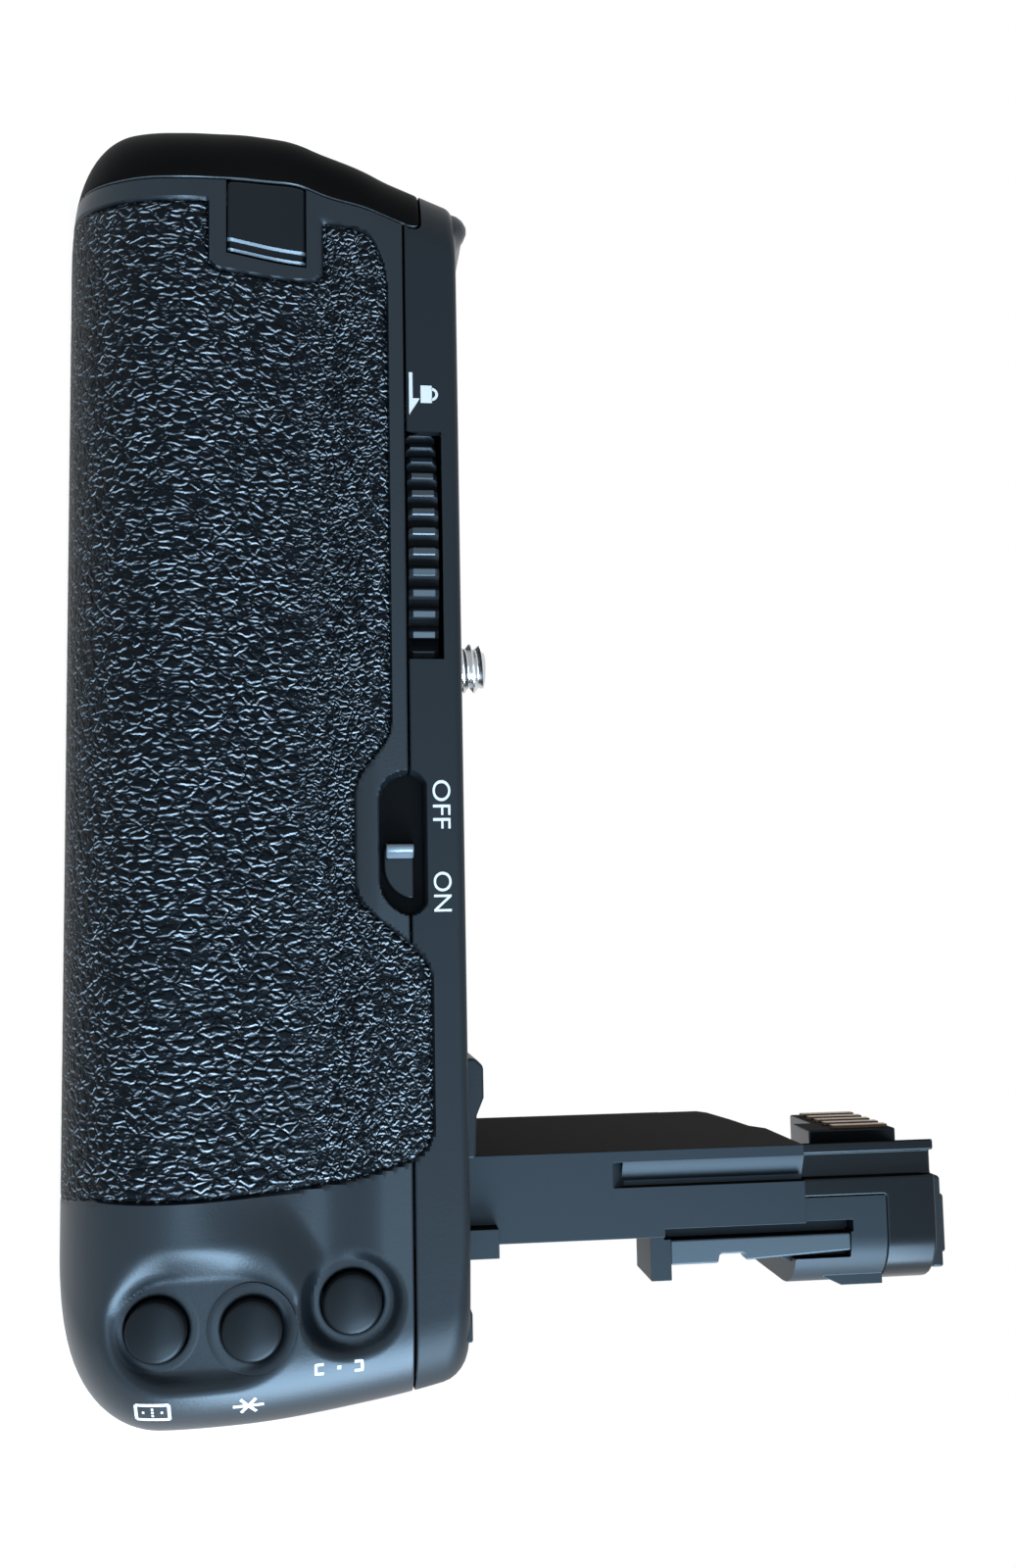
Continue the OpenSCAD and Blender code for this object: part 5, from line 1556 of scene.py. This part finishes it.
@dataclass(frozen=True)
class Controls:
    """Thumb buttons, power switch, shutter button and control dial."""

    thumbs: tuple[Thumb, ...] = (
        Thumb("frame_button", Body.FRAME_KEY, 74.4, 11.4, -32.4),
        Thumb("star_button", Body.STAR_KEY, 74.7, 21.1, -32.4),
        Thumb("focus_button", Body.FOCUS_KEY, 72.9, 31.4, -30.6))
    back_y: float = -25.3
    button_r: float = 3.12
    flange_r: float = 4.15
    knob_x: Pair = (24.35, 30.65)
    knob_z: Pair = (35.1, 38.5)
    knob_y: Pair = (-30.35, -28.75)
    bed_y: Pair = (-27.8, -27.35)

    def thumb(self, key: Thumb) -> Piece:
        """Button with a flange, a straight side and a soft dome."""
        r, height = self.button_r, self.back_y - key.top_y
        edge = [(r - 0.62 * (1 - math.cos(math.radians(a))), height - 0.85 + 0.5 * math.sin(math.radians(a)))
                for a in range(0, 76, 15)]
        dome = [(s * (r - 0.5), height - 0.36 * s**2) for s in (0.95, 0.8, 0.62, 0.44, 0.26, 0.1, 0.0)]
        profile = [(0.0, 0.0), (self.flange_r, 0.0), (self.flange_r, 0.8), (r, 0.8)] + edge + dome
        return lathe(f"{key.node}_dome", profile, (key.x, self.back_y, key.z), (0, -1, 0), 72)

    def knob(self) -> Piece:
        """Switch knob: a ribbed grip over a low half-round foot."""
        x0, x1 = self.knob_x
        z0, z1 = self.knob_z
        crest, foot = self.knob_y
        round_end = [(x1 - 3.6 + 3.6 * math.sin(math.radians(a)), z1 - (z1 - z0) * math.cos(math.radians(a)))
                     for a in range(0, 91, 10)]
        outline = [(x0, z1), (x0, z0 + 0.9), (x0 + 0.9, z0)] + round_end
        plate = prism("knob_plate", outline, "XZ", foot, foot + 0.9, 0.28, 3)
        rib = [(x0 + 0.02, foot + 0.6), (x0 + 0.1, foot - 0.6), (x0 + 0.4, crest + 0.12), (x0 + 0.8, crest),
               (x0 + 1.2, crest + 0.1), (x0 + 1.9, foot - 0.5), (x0 + 2.3, foot + 0.6)]
        grip = prism("knob_rib", rib, "XY", z0 + 0.3, z1 - 0.1, 0.3, 4)
        return join([plate, grip], "switch_grip")

    def bed(self) -> Piece:
        """Floor of the switch recess, on which the knob slides; it is dressed near black as painted shade of the
        recess.
        """
        outline = [(17.1, 37.0), (17.6, 36.0), (18.4, 35.3), (19.6, 34.9), (28.8, 34.95), (30.1, 35.3), (31.0, 35.8),
                   (32.0, 37.2), (32.2, 38.0), (31.8, 38.9), (31.1, 39.45), (18.1, 39.45), (17.4, 38.9), (17.0, 38.0)]
        return prism("switch_bed", outline, "XZ", *self.bed_y)

    def build(self) -> None:
        """Builds and dresses every control."""
        # Painted shade: the recess floor is near black.
        dress(self.bed(), Body.GRIP, "control_plastic", RECESS_SHADE)
        for key in self.thumbs:
            dress(self.thumb(key), key.body, "button_plastic", replaces=[key.node])
        knob, foot = self.knob(), self.knob_y[1]
        dress(knob, Body.SWITCH, "control_plastic", KNOB, ["switch_knob"])
        # Painted highlight on the rib faces that stand out and do not face away from the light.
        second_finish(knob, KNOB_RIB_HIGHLIGHT, lambda face: face.center.y < (foot - 0.1) * MM and face.normal.x > -0.6)
        dress(soft_copy("shutter_button", 0.3, 3), Body.SHUTTER, "control_plastic", replaces=["shutter_button"])
        dress(soft_copy("shutter_collar", 0.35, 3), Body.GRIP, "control_plastic", replaces=["shutter_collar"])
        dress(soft_copy("control_dial", 0.2, 2), Body.DIAL, "mat_rubber", replaces=["control_dial"])


# Clamp drive


@dataclass(frozen=True)
class ClampDrive:
    """Ribbed lock wheel and the threaded stud that it turns."""

    foot_z: float = 32.3
    foot_r: float = 2.5
    journal_z: float = 34.6
    journal_r: float = 4.0
    top_z: float = 44.0
    tip_z: float = 49.5
    crest_r: float = 3.175
    root_r: float = 2.52
    pitch: float = 1.27
    turn_steps: int = 48
    ribs: int = 66
    rib_h: float = 1.1
    rib_line: tuple[Pair, ...] = (
        (0.0, 0.06), (0.05, 0.0), (0.29, 0.0), (0.35, 0.08), (0.48, 0.9), (0.53, 1.0), (0.79, 1.0),
        (0.84, 0.9), (0.97, 0.1))

    def wheel(self) -> Piece:
        """Lock wheel with its inner teeth, and trapezoid ribs round its rim."""
        core = soft_copy("lock_wheel", 0.05, 1)
        points = points_of(core) / MM
        low, high = points.min(0), points.max(0)
        middle, radius = (low + high) / 2, (high[0] - low[0]) / 2
        root = radius - self.rib_h
        across = points[:, :2] - middle[:2]
        reach = np.hypot(across[:, 0], across[:, 1])
        outer = reach > root - 0.35
        points[outer, :2] = middle[:2] + across[outer] / reach[outer, None] * (root - 0.3)
        move_to(core, points)
        line = np.array(self.rib_line)
        base, bottom, top = root - 0.6, low[2], high[2]
        loop = np.array([(bottom, base, 0.0), (bottom, root, 0.0), (bottom + 0.02, root, 0.55),
                         (bottom + 0.5, root, 1.0), (top - 0.5, root, 1.0), (top - 0.02, root, 0.55),
                         (top, root, 0.0), (top, base, 0.0), (bottom, base, 0.0)])

        def place(column: Array, row: Array) -> Array:
            """Points of the ribbed rim."""
            share = column // len(line) + line[column % len(line), 0]
            angle = share / self.ribs * 2 * math.pi
            crest = line[column % len(line), 1] * loop[row, 2]
            r = loop[row, 1] + self.rib_h * crest
            return np.stack([middle[0] + r * np.cos(angle), middle[1] + r * np.sin(angle), loop[row, 0]], 1)

        rim = formed_grid("wheel_rim", self.ribs * len(line) + 1, len(loop), place)
        edit(rim, merge_doubles, face_outwards)
        shade(rim, 25)
        return join([core, rim], "ribbed_wheel")

    def thread(self) -> Piece:
        """Stud with a true helical thread, run out at its root and its tip."""
        profile = np.array([(0.0, 0.0), (0.06, 0.0), (0.44, 1.0), (0.56, 1.0), (0.94, 0.0)])
        steps = self.turn_steps
        turns = (self.tip_z - self.top_z) / self.pitch + 1.0
        columns = int(turns * steps) + 1

        def place(column: Array, row: Array) -> Array:
            """Points of the thread's flanks."""
            angle = column / steps * 2 * math.pi
            share = np.append(profile[:, 0], 1.0)[row]
            crest = np.append(profile[:, 1], 0.0)[row]
            z = self.top_z - 0.3 + (column / steps - 1.0 + share) * self.pitch
            z = np.clip(z, self.top_z - 0.3, self.tip_z - 0.1)
            run_in = np.clip((z - self.top_z + 0.1) / 0.7, 0, 1)
            run_out = np.clip((self.tip_z - 0.1 - z) / 0.9, 0, 1)
            radius = self.root_r + (self.crest_r - self.root_r) * crest * np.minimum(run_in, run_out)
            return np.stack([radius * np.cos(angle), radius * np.sin(angle), z], 1)

        helix = formed_grid("stud_helix", columns, len(profile) + 1, place)
        edit(helix, merge_doubles, face_outwards)
        thicken(helix, 0.06, 0.0)
        return helix

    def stud(self) -> Piece:
        """Foot, journal and threaded end of the clamp screw."""
        core = self.root_r - 0.02
        profile = [(0.0, self.foot_z), (self.foot_r - 0.2, self.foot_z), (self.foot_r, self.foot_z + 0.2),
                   (self.foot_r, self.journal_z), (self.journal_r, self.journal_z),
                   (self.journal_r, self.top_z - 0.25), (self.journal_r - 0.25, self.top_z - 0.02), (core, self.top_z),
                   (core, self.tip_z - 0.25), (core - 0.3, self.tip_z), (0.0, self.tip_z)]
        body = lathe("stud_body", profile, (0, 0, 0), (0, 0, 1), self.turn_steps)
        stud = join([body, self.thread()], "threaded_stud")
        shade(stud, 30)
        return stud

    def build(self) -> None:
        """Builds and dresses the wheel and the stud."""
        wheel = self.wheel()
        dress(wheel, Body.WHEEL, "control_plastic", WHEEL, ["lock_wheel"])
        middle = frame["nodes"]["lock_wheel"].bound_box
        x, y = ((middle[0][axis] + middle[6][axis]) / 2 for axis in (0, 1))
        root = (middle[6][0] - middle[0][0]) / 2 - (self.rib_h - 0.3) * MM
        # Painted shade: the wheel's core and the floors between its ribs get a near-black colour.
        second_finish(wheel, RECESS_SHADE, lambda face: math.hypot(face.center.x - x, face.center.y - y) < root)
        dress(self.stud(), Body.STUD, "steel", replaces=["clamp_screw"])


# Latch


@dataclass(frozen=True)
class Latch:
    """Flush latch plate on its hinge, and the hinge's ears on the cap."""

    form: GripForm = GripForm()
    origin: Triple = (-45.0, -29.93, 22.75)
    rise: Pair = (0.379, 0.925)
    hinge_u: float = -2.8
    hinge_w: float = -1.5
    wall: float = 0.9
    ear_span: Pair = (4.75, 6.05)
    far_x: float = -40.9
    half_z: float = 4.25
    play: float = 0.08
    seam: float = 0.12
    nose: float = 0.1
    side_room: float = 0.7
    drop: float = 1.4

    def frame_point(self, u: Array, v: Array, w: Array) -> Array:
        """Points of the latch's own frame in the part's frame."""
        along, up = self.rise
        x = self.origin[0] + u
        y = self.origin[1] + v * along - w * up
        z = self.origin[2] + v * up + w * along
        return np.stack([x, y, z], 1)

    def height(self, z: Array) -> Array:
        """How far the rear face stands out from the hinge, at a height."""
        along, up = self.rise
        y = self.form.rear_profile(z, self.form.valley_y)
        w = -(y - self.origin[1]) * up + (z - self.origin[2]) * along
        return w - self.hinge_w

    def heel(self, z: Array) -> Array:
        """How far the plate reaches past its hinge, up to the cap's seam."""
        return self.origin[0] + self.hinge_u - self.form.seam_x(z) - self.seam

    def swept(self, y: Array, z: Array) -> Array:
        """X up to which the heel of the swinging plate reaches.

        Args:
            y: Y of the points.
            z: Heights of the points.

        Returns:
            X that a part beside the plate has to stay under, far away beside its sides.
        """
        along, up = self.rise
        v = (y - self.origin[1]) * along + (z - self.origin[2]) * up
        w = (z - self.origin[2]) * along - (y - self.origin[1]) * up - self.hinge_w
        heights = self.origin[2] + np.linspace(-self.half_z, self.half_z, 60)
        across = (self.form.rear_profile(heights, self.form.valley_y) - self.origin[1]) * along
        across = across + (heights - self.origin[2]) * up
        radius = np.hypot(self.heel(heights) - self.nose, self.height(heights) - self.nose) + self.play
        radius = np.interp(v, across, radius)
        reach = np.where(w > 0, np.sqrt(np.maximum(radius**2 - w**2, 0.0)), radius)
        inside = (v > across[0] - self.side_room) & (v < across[-1] + self.side_room) & (w > -self.drop)
        return np.where(inside, self.origin[0] + self.hinge_u - reach, 1e3)

    def plate(self) -> Piece:
        """Plate that follows the rear face, with a finger step at its free end."""
        across = np.linspace(-self.half_z, self.half_z, 25)
        far = self.far_x
        ahead = [(far - 1.75, 0.0), (far - 1.55, 0.03), (far - 1.3, 0.34), (far - 1.15, 0.38), (far - 0.65, 0.3),
                 (far - 0.46, 0.08), (far - 0.36, 0.05), (far - 0.1, 0.3), (far, 0.9)]
        line = np.array([(0.0, 0.3), (0.05, 0.18), (0.14, 0.08), (0.28, 0.02), (0.45, 0.0), (1.5, 0.0), (3.5, 0.0)]
                        + [(-1.0, d) for _, d in ahead])
        stop = np.array([0.0] * 7 + [x for x, _ in ahead])

        def place(column: Array, row: Array) -> Array:
            """Points of the plate's face."""
            z = self.origin[2] + across[row]
            start = self.origin[0] + self.hinge_u - self.heel(z)
            x = np.where(line[column, 0] >= 0, start + line[column, 0], stop[column])
            side = np.clip(1 - (self.half_z - np.abs(across[row])) / 0.25, 0, 1)
            drop = line[column, 1] + 0.25 * (1 - np.sqrt(1 - side**2))
            return np.stack([x, self.form.rear_y(x, z) + 0.02 + drop, z], 1)

        sheet = formed_grid("latch_plate", len(line), len(across), place)
        turn_along_y(sheet, -1)
        thicken(sheet, self.wall)
        shade(sheet, 30)
        return sheet

    def barrel(self) -> Piece:
        """Hinge barrel under the plate."""
        place = self.frame_point(np.array([self.hinge_u]), np.array([-4.4]), np.array([self.hinge_w]))[0]
        profile = [(0.0, 0.0), (1.15, 0.0), (1.3, 0.15), (1.3, 8.65), (1.15, 8.8), (0.0, 8.8)]
        return lathe("latch_barrel", profile, place, (0, *self.rise), 32)

    def ears(self) -> Piece:
        """The two ears of the hinge."""
        parts = []
        for side in (-1, 1):
            low, high = sorted(side * reach for reach in self.ear_span)
            ear = box("ear", (-6.8, low, -3.0), (-1.3, high, -0.6), 0.2)
            move_to(ear, self.frame_point(*(points_of(ear).T / MM)))
            edit(ear, face_outwards)
            parts.append(ear)
        return join(parts, "cap_hinge")

    def build(self) -> None:
        """Builds and dresses the latch."""
        lever = join([self.plate(), self.barrel()], "latch_plate")
        dress(lever, Body.LATCH, "control_plastic", LATCH, ["latch_lever"])
        # Painted highlight on the latch faces that face the light.
        second_finish(lever, LATCH_EDGE_HIGHLIGHT, lambda face: face.normal.x > 0.5 and face.normal.y < -0.3)
        dress(self.ears(), Body.MAGAZINE, "casing", LATCH)


# Arm


@dataclass(frozen=True)
class Arm:
    """Arm that fills the camera's battery chamber: frame, rail, nose and terminal."""

    x0: float = 59.5
    rear_y: float = -21.0
    nose_z: Pair = (83.6, 99.6)
    groove_x: Pair = (60.85, 63.5)
    groove_z: float = 62.3
    groove_depth: float = 1.35
    contact_y: Pair = (-9.2, 6.6)
    contact_z: Pair = (90.6, 99.2)

    def groove(self, name: str, low: float, high: float) -> Piece:
        """Sloping floor of the key groove between two heights."""
        x0, x1 = self.groove_x
        floor = self.rear_y + self.groove_depth
        outline = [(x0 - 0.3, self.rear_y + 0.1), (x0, self.rear_y + 0.12), (x1 - 0.5, floor), (x1 - 0.5, floor + 0.4),
                   (x0 - 0.3, floor + 0.4)]
        return prism(name, outline, "XY", low, high)

    def frame(self) -> Piece:
        """Frame with softened edges, its groove and the full corner of its side wall."""
        body = soft_copy("arm_frame", 0.22, 2)
        z0 = self.nose_z[0]
        corner = [(-19.5, z0 - 14.0), (13.95, z0 - 14.0), (13.95, z0 - 4.0), (12.0, z0 - 3.0), (4.0, z0 - 1.9),
                  (-6.0, z0 - 1.0), (-19.5, z0 - 0.2)]
        wall = prism("arm_side", corner, "YZ", self.x0 + 0.02, self.x0 + 1.6, 0.12, 2)
        return join([body, wall, self.groove("frame_groove", self.groove_z, z0)], "arm_frame_piece")

    def nose(self) -> Piece:
        """Nose whose side draws in behind its edge, with the block that carries the contacts."""
        body = soft_copy("arm_nose", 0.3, 3)
        bisect(body, (self.x0 + 0.15, self.rear_y + 1.2, 90.0), (-0.982, 0.187, 0.0))
        shade(body)
        even_normals(body)
        y0, y1 = self.contact_y
        z0, z1 = self.contact_z
        steps = [(y0, z0 - 2.5), (y1 - 9.0, z0 - 2.5), (y1 - 9.0, z0), (y1, z0), (y1, z1 - 4.0),
                 (y1 - 4.0, z1), (y0, z1)]
        block = prism("contact_seat", steps, "YZ", self.x0 + 0.05, self.x0 + 6.0, 0.2, 2)
        return join([body, block], "arm_nose_piece")

    def build(self) -> None:
        """Builds and dresses the arm's pieces."""
        frame["nodes"]["arm_contacts"].data.materials[0] = AGED_CONTACT.material()
        for obj, slot, finish, node in (
                (self.frame(), "arm_plastic", ARM, "arm_frame"),
                (self.nose(), "nose_plastic", NOSE, "arm_nose"),
                (soft_copy("arm_rail", 0.25, 3), "arm_plastic", RAIL, "arm_rail"),
                (soft_copy("arm_terminal", 0.35, 3), "arm_plastic", ARM_DARK, "arm_terminal")):
            dress(obj, Body.GRIP, slot, finish, [node])
            # Painted shade on the faces that face away from the light, along -X.
            second_finish(obj, ARM_SHADED_SIDE, lambda face: face.normal.x < -0.75)


# Legends


@dataclass(frozen=True)
class Legends:
    """Painted marks: switch words, lock mark with its arrow, and plain button icons."""

    form: GripForm = GripForm()
    features: RearFeatures = RearFeatures()
    proud: float = 0.035
    sunk: float = 0.06
    paint: float = 0.09
    line: float = 0.3
    strip_y: float = -30.0
    off_box: Quad = (17.8, 23.1, 40.5, 42.45)
    on_box: Quad = (27.8, 32.1, 40.5, 42.45)

    def word(self, text: str, span: Quad) -> Piece:
        """A word that fills a box on the platform's rim, read from behind.

        Args:
            text: The word.
            span: Low and high X, then low and high Z.

        Returns:
            The word as a thin mesh.
        """
        bpy.ops.object.select_all(action="DESELECT")
        bpy.ops.object.text_add()
        obj = bpy.context.active_object
        obj.data.body = text
        obj.data.extrude = 0.02
        obj.data.resolution_u = 6
        bpy.ops.object.convert(target="MESH")
        obj = bpy.context.active_object
        obj.name = obj.data.name = f"legend_{text.lower()}"
        points = points_of(obj)
        low, high = points.min(0), points.max(0)
        share = (points - low) / (high - low)
        x = span[0] + (span[1] - span[0]) * share[:, 0]
        z = span[2] + (span[3] - span[2]) * share[:, 1]
        y = self.strip_y + self.sunk - (self.sunk + self.proud) * share[:, 2]
        move_to(obj, np.stack([x, y, z], 1))
        edit(obj, merge_doubles, face_outwards)
        return obj

    def stroke(self, name: str, path: Sequence[Pair], width: float | None = None) -> Piece:
        """A painted line that follows the rear face.

        Args:
            name: Name of the piece.
            path: Points of X and Z.
            width: Width of the line.

        Returns:
            The line as a thin mesh.
        """
        half = (width or self.line) / 2
        points = [path[0]]
        for (ax, az), (bx, bz) in zip(path, path[1:]):
            count = max(1, math.ceil(math.hypot(bx - ax, bz - az) / 0.2))
            points += [(ax + (bx - ax) * i / count, az + (bz - az) * i / count) for i in range(1, count + 1)]
        line = np.array(points)
        way = np.gradient(line, axis=0)
        way /= np.linalg.norm(way, axis=1, keepdims=True)

        def place(column: Array, row: Array) -> Array:
            """Points of the painted line."""
            side = (column - 1) * half
            x, z = line[row, 0] - way[row, 1] * side, line[row, 1] + way[row, 0] * side
            return np.stack([x, self.features.face(self.form, x, z) - self.proud, z], 1)

        obj = formed_grid(name, 3, len(line), place)
        turn_along_y(obj, -1)
        thicken(obj, self.paint)
        return obj

    def lock_mark(self) -> Piece:
        """Padlock and the arrow that shows which way the wheel locks."""
        body = [(-26.7, 39.75), (-24.7, 39.75), (-24.7, 41.0), (-26.7, 41.0)]
        shackle = [(-25.7 + r * math.cos(math.radians(a)), 40.95 + r * math.sin(math.radians(a)))
                   for r, angles in ((0.75, range(0, 181, 15)), (0.45, range(180, -1, -15))) for a in angles]
        arrow = [(-28.2, 38.45), (-23.3, 38.45), (-25.2, 39.65), (-25.2, 38.85), (-28.2, 38.85)]
        outlines = {"lock_body": body, "lock_shackle": shackle, "lock_arrow": arrow}
        return join([prism(name, outline, "XZ", self.strip_y - self.proud, self.strip_y + self.sunk)
                     for name, outline in outlines.items()], "lock_mark")

    def icons(self) -> Piece:
        """Framed dots, a six-armed star and focus corners beside the thumb buttons."""
        parts = []
        x0, x1, z0, z1 = 81.5, 83.3, 9.4, 12.8
        for a, b in (((x0, z0), (x1, z0)), ((x1, z0), (x1, z1)), ((x1, z1), (x0, z1)), ((x0, z1), (x0, z0))):
            parts.append(self.stroke("frame_side", [a, b], 0.32))
        for x, z in ((82.4, 10.15), (82.4, 11.1), (82.4, 12.05), (82.0, 11.1), (82.8, 11.1)):
            parts.append(self.stroke("frame_dot", [(x, z - 0.12), (x, z + 0.12)], 0.26))
        for angle in (0, 60, 120):
            dx, dz = 0.95 * math.sin(math.radians(angle)), 1.55 * math.cos(math.radians(angle))
            parts.append(self.stroke("star_arm", [(82.4 - dx, 20.7 - dz), (82.4 + dx, 20.7 + dz)], 0.32))
        for z, step in ((27.6, 0.8), (32.4, -0.8)):
            parts.append(self.stroke("focus_corner", [(78.7, z + step), (78.7, z), (79.7, z), (79.7, z + step)], 0.3))
        parts.append(self.stroke("focus_dot", [(79.2, 29.8), (79.2, 30.2)], 0.4))
        return join(parts, "button_icons")

    def build(self) -> None:
        """Builds and dresses the marks."""
        dress(join([self.word("OFF", self.off_box), self.word("ON", self.on_box)], "switch_words"), Body.GRIP,
              "platform", LEGEND)
        dress(self.lock_mark(), Body.GRIP, "platform", LEGEND)
        dress(self.icons(), Body.GRIP, "casing", LEGEND)


# Stage


@dataclass(frozen=True)
class Lamp:
    """Soft rectangular lamp: its middle, the point that it faces, its size, watts and colour."""

    name: str
    place: Triple
    target: Triple
    size: Pair
    power: float
    colour: Triple = (0.70, 0.86, 1.0)

    def build(self) -> None:
        """Adds the lamp to the scene."""
        data = bpy.data.lights.new(self.name, "AREA")
        data.shape = "RECTANGLE"
        data.size, data.size_y = self.size[0] * MM, self.size[1] * MM
        data.energy = self.power
        data.color = self.colour
        obj = bpy.data.objects.new(self.name, data)
        bpy.context.scene.collection.objects.link(obj)
        obj.location = Vector(self.place) * MM
        obj.rotation_euler = (Vector(self.target) - Vector(self.place)).to_track_quat("-Z", "Y").to_euler()


@dataclass(frozen=True)
class Stage:
    """Floor, lamps, background and camera."""

    eye: Triple = (34.75, -190.24, 29.53)
    rise_deg: float = 6.86
    swing_deg: float = 5.83
    roll_deg: float = 0.35
    focal_px: float = 1508.29
    long_side_px: float = 1600.0
    sensor: float = 36.0
    floor_size: float = 6.0
    floor_glow: float = 0.95
    floor_tone: float = 0.30
    floor_drop: float = 0.2
    sky: Triple = (0.82, 0.9, 1.0)
    sky_power: float = 0.3
    lamps: tuple[Lamp, ...] = (
        Lamp("window", (420, -230, 135), (20, -20, 25), (320, 250), 5.6),
        Lamp("fill", (150, -430, 60), (20, 0, 20), (400, 200), 0.8),
        Lamp("back", (-200, 380, 300), (10, 0, 40), (400, 300), 0.5, (1.0, 0.97, 0.93)))

    def camera(self) -> None:
        """Places the camera of the photograph."""
        rise, swing = math.radians(self.rise_deg), math.radians(self.swing_deg)
        ahead = Vector((-math.sin(swing), math.cos(rise) * math.cos(swing), math.sin(rise) * math.cos(swing)))
        right = Vector((0, 0, 1)) - ahead * ahead.z
        right.normalize()
        right = Matrix.Rotation(math.radians(self.roll_deg), 3, ahead) @ right
        up = right.cross(ahead)
        data = bpy.data.cameras.new("camera")
        data.sensor_width = self.sensor
        data.lens = self.sensor * self.focal_px / self.long_side_px
        data.clip_start = 0.01
        obj = bpy.data.objects.new("camera", data)
        bpy.context.scene.collection.objects.link(obj)
        turned = Matrix((right, up, -ahead)).transposed().to_4x4()
        obj.matrix_world = Matrix.Translation(Vector(self.eye) * MM) @ turned
        bpy.context.scene.camera = obj

    def seen(self, tree: bpy.types.NodeTree, path: bpy.types.Node) -> Socket:
        """Share of the rays that see the background: those of the eye, of mirrors and of glass."""
        share = path.outputs["Is Camera Ray"]
        for kind in ("Is Glossy Ray", "Is Transmission Ray"):
            node = tree.nodes.new("ShaderNodeMath")
            node.operation = "MAXIMUM"
            tree.links.new(share, node.inputs[0])
            tree.links.new(path.outputs[kind], node.inputs[1])
            share = node.outputs[0]
        return share

    def world(self) -> None:
        """White background for the eye and a soft cool light for the object."""
        world = bpy.data.worlds.new("studio")
        bpy.context.scene.world = world
        world.use_nodes = True
        nodes, links = world.node_tree.nodes, world.node_tree.links
        nodes.clear()
        path = nodes.new("ShaderNodeLightPath")
        soft, white = nodes.new("ShaderNodeBackground"), nodes.new("ShaderNodeBackground")
        soft.inputs["Color"].default_value = (*self.sky, 1)
        soft.inputs["Strength"].default_value = self.sky_power
        white.inputs["Color"].default_value = (1, 1, 1, 1)
        white.inputs["Strength"].default_value = 1.0
        mix, out = nodes.new("ShaderNodeMixShader"), nodes.new("ShaderNodeOutputWorld")
        links.new(self.seen(world.node_tree, path), mix.inputs[0])
        links.new(soft.outputs[0], mix.inputs[1])
        links.new(white.outputs[0], mix.inputs[2])
        links.new(mix.outputs[0], out.inputs[0])

    def floor(self) -> None:
        """Pale floor that stays white to the eye and keeps a faint shadow."""
        bpy.ops.object.select_all(action="DESELECT")
        bpy.ops.mesh.primitive_plane_add(size=self.floor_size, location=(0, 0, -self.floor_drop * MM))
        obj = bpy.context.active_object
        obj.name = "floor"
        graph = NodeGraph("pale_floor")
        graph.tune({"Base Color": (*[self.floor_tone] * 3, 1), "Roughness": 1.0, "Specular IOR Level": 0.0,
                    "Emission Color": (1, 1, 1, 1)})
        seen = self.seen(graph.material.node_tree, graph.add("LightPath"))
        glow = graph.add("Math", {0: seen, 1: self.floor_glow}, operation="MULTIPLY")
        graph.links.new(glow.outputs[0], graph.shader.inputs["Emission Strength"])
        obj.data.materials.append(graph.material)

    def build(self) -> None:
        """Sets the whole stage."""
        bpy.context.scene.view_settings.view_transform = "Standard"
        self.camera()
        self.world()
        self.floor()
        for lamp in self.lamps:
            lamp.build()


def dress_nodes() -> None:
    """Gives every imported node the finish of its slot."""
    for row in frame["record"]["subparts"]:
        node = frame["nodes"][row["node"]]
        node.data.materials.clear()
        node.data.materials.append(SLOT_FINISH[row["material_slot"]].material())


def main() -> None:
    """Builds the pieces in order, then the stage."""
    logging.basicConfig(level=logging.INFO, format="%(name)s: %(message)s")
    dress_nodes()
    for assembly in (Casing(), Controls(), ClampDrive(), Latch(), Arm(), Legends()):
        assembly.build()
    Stage().build()


if __name__ == "__main__":
    main()
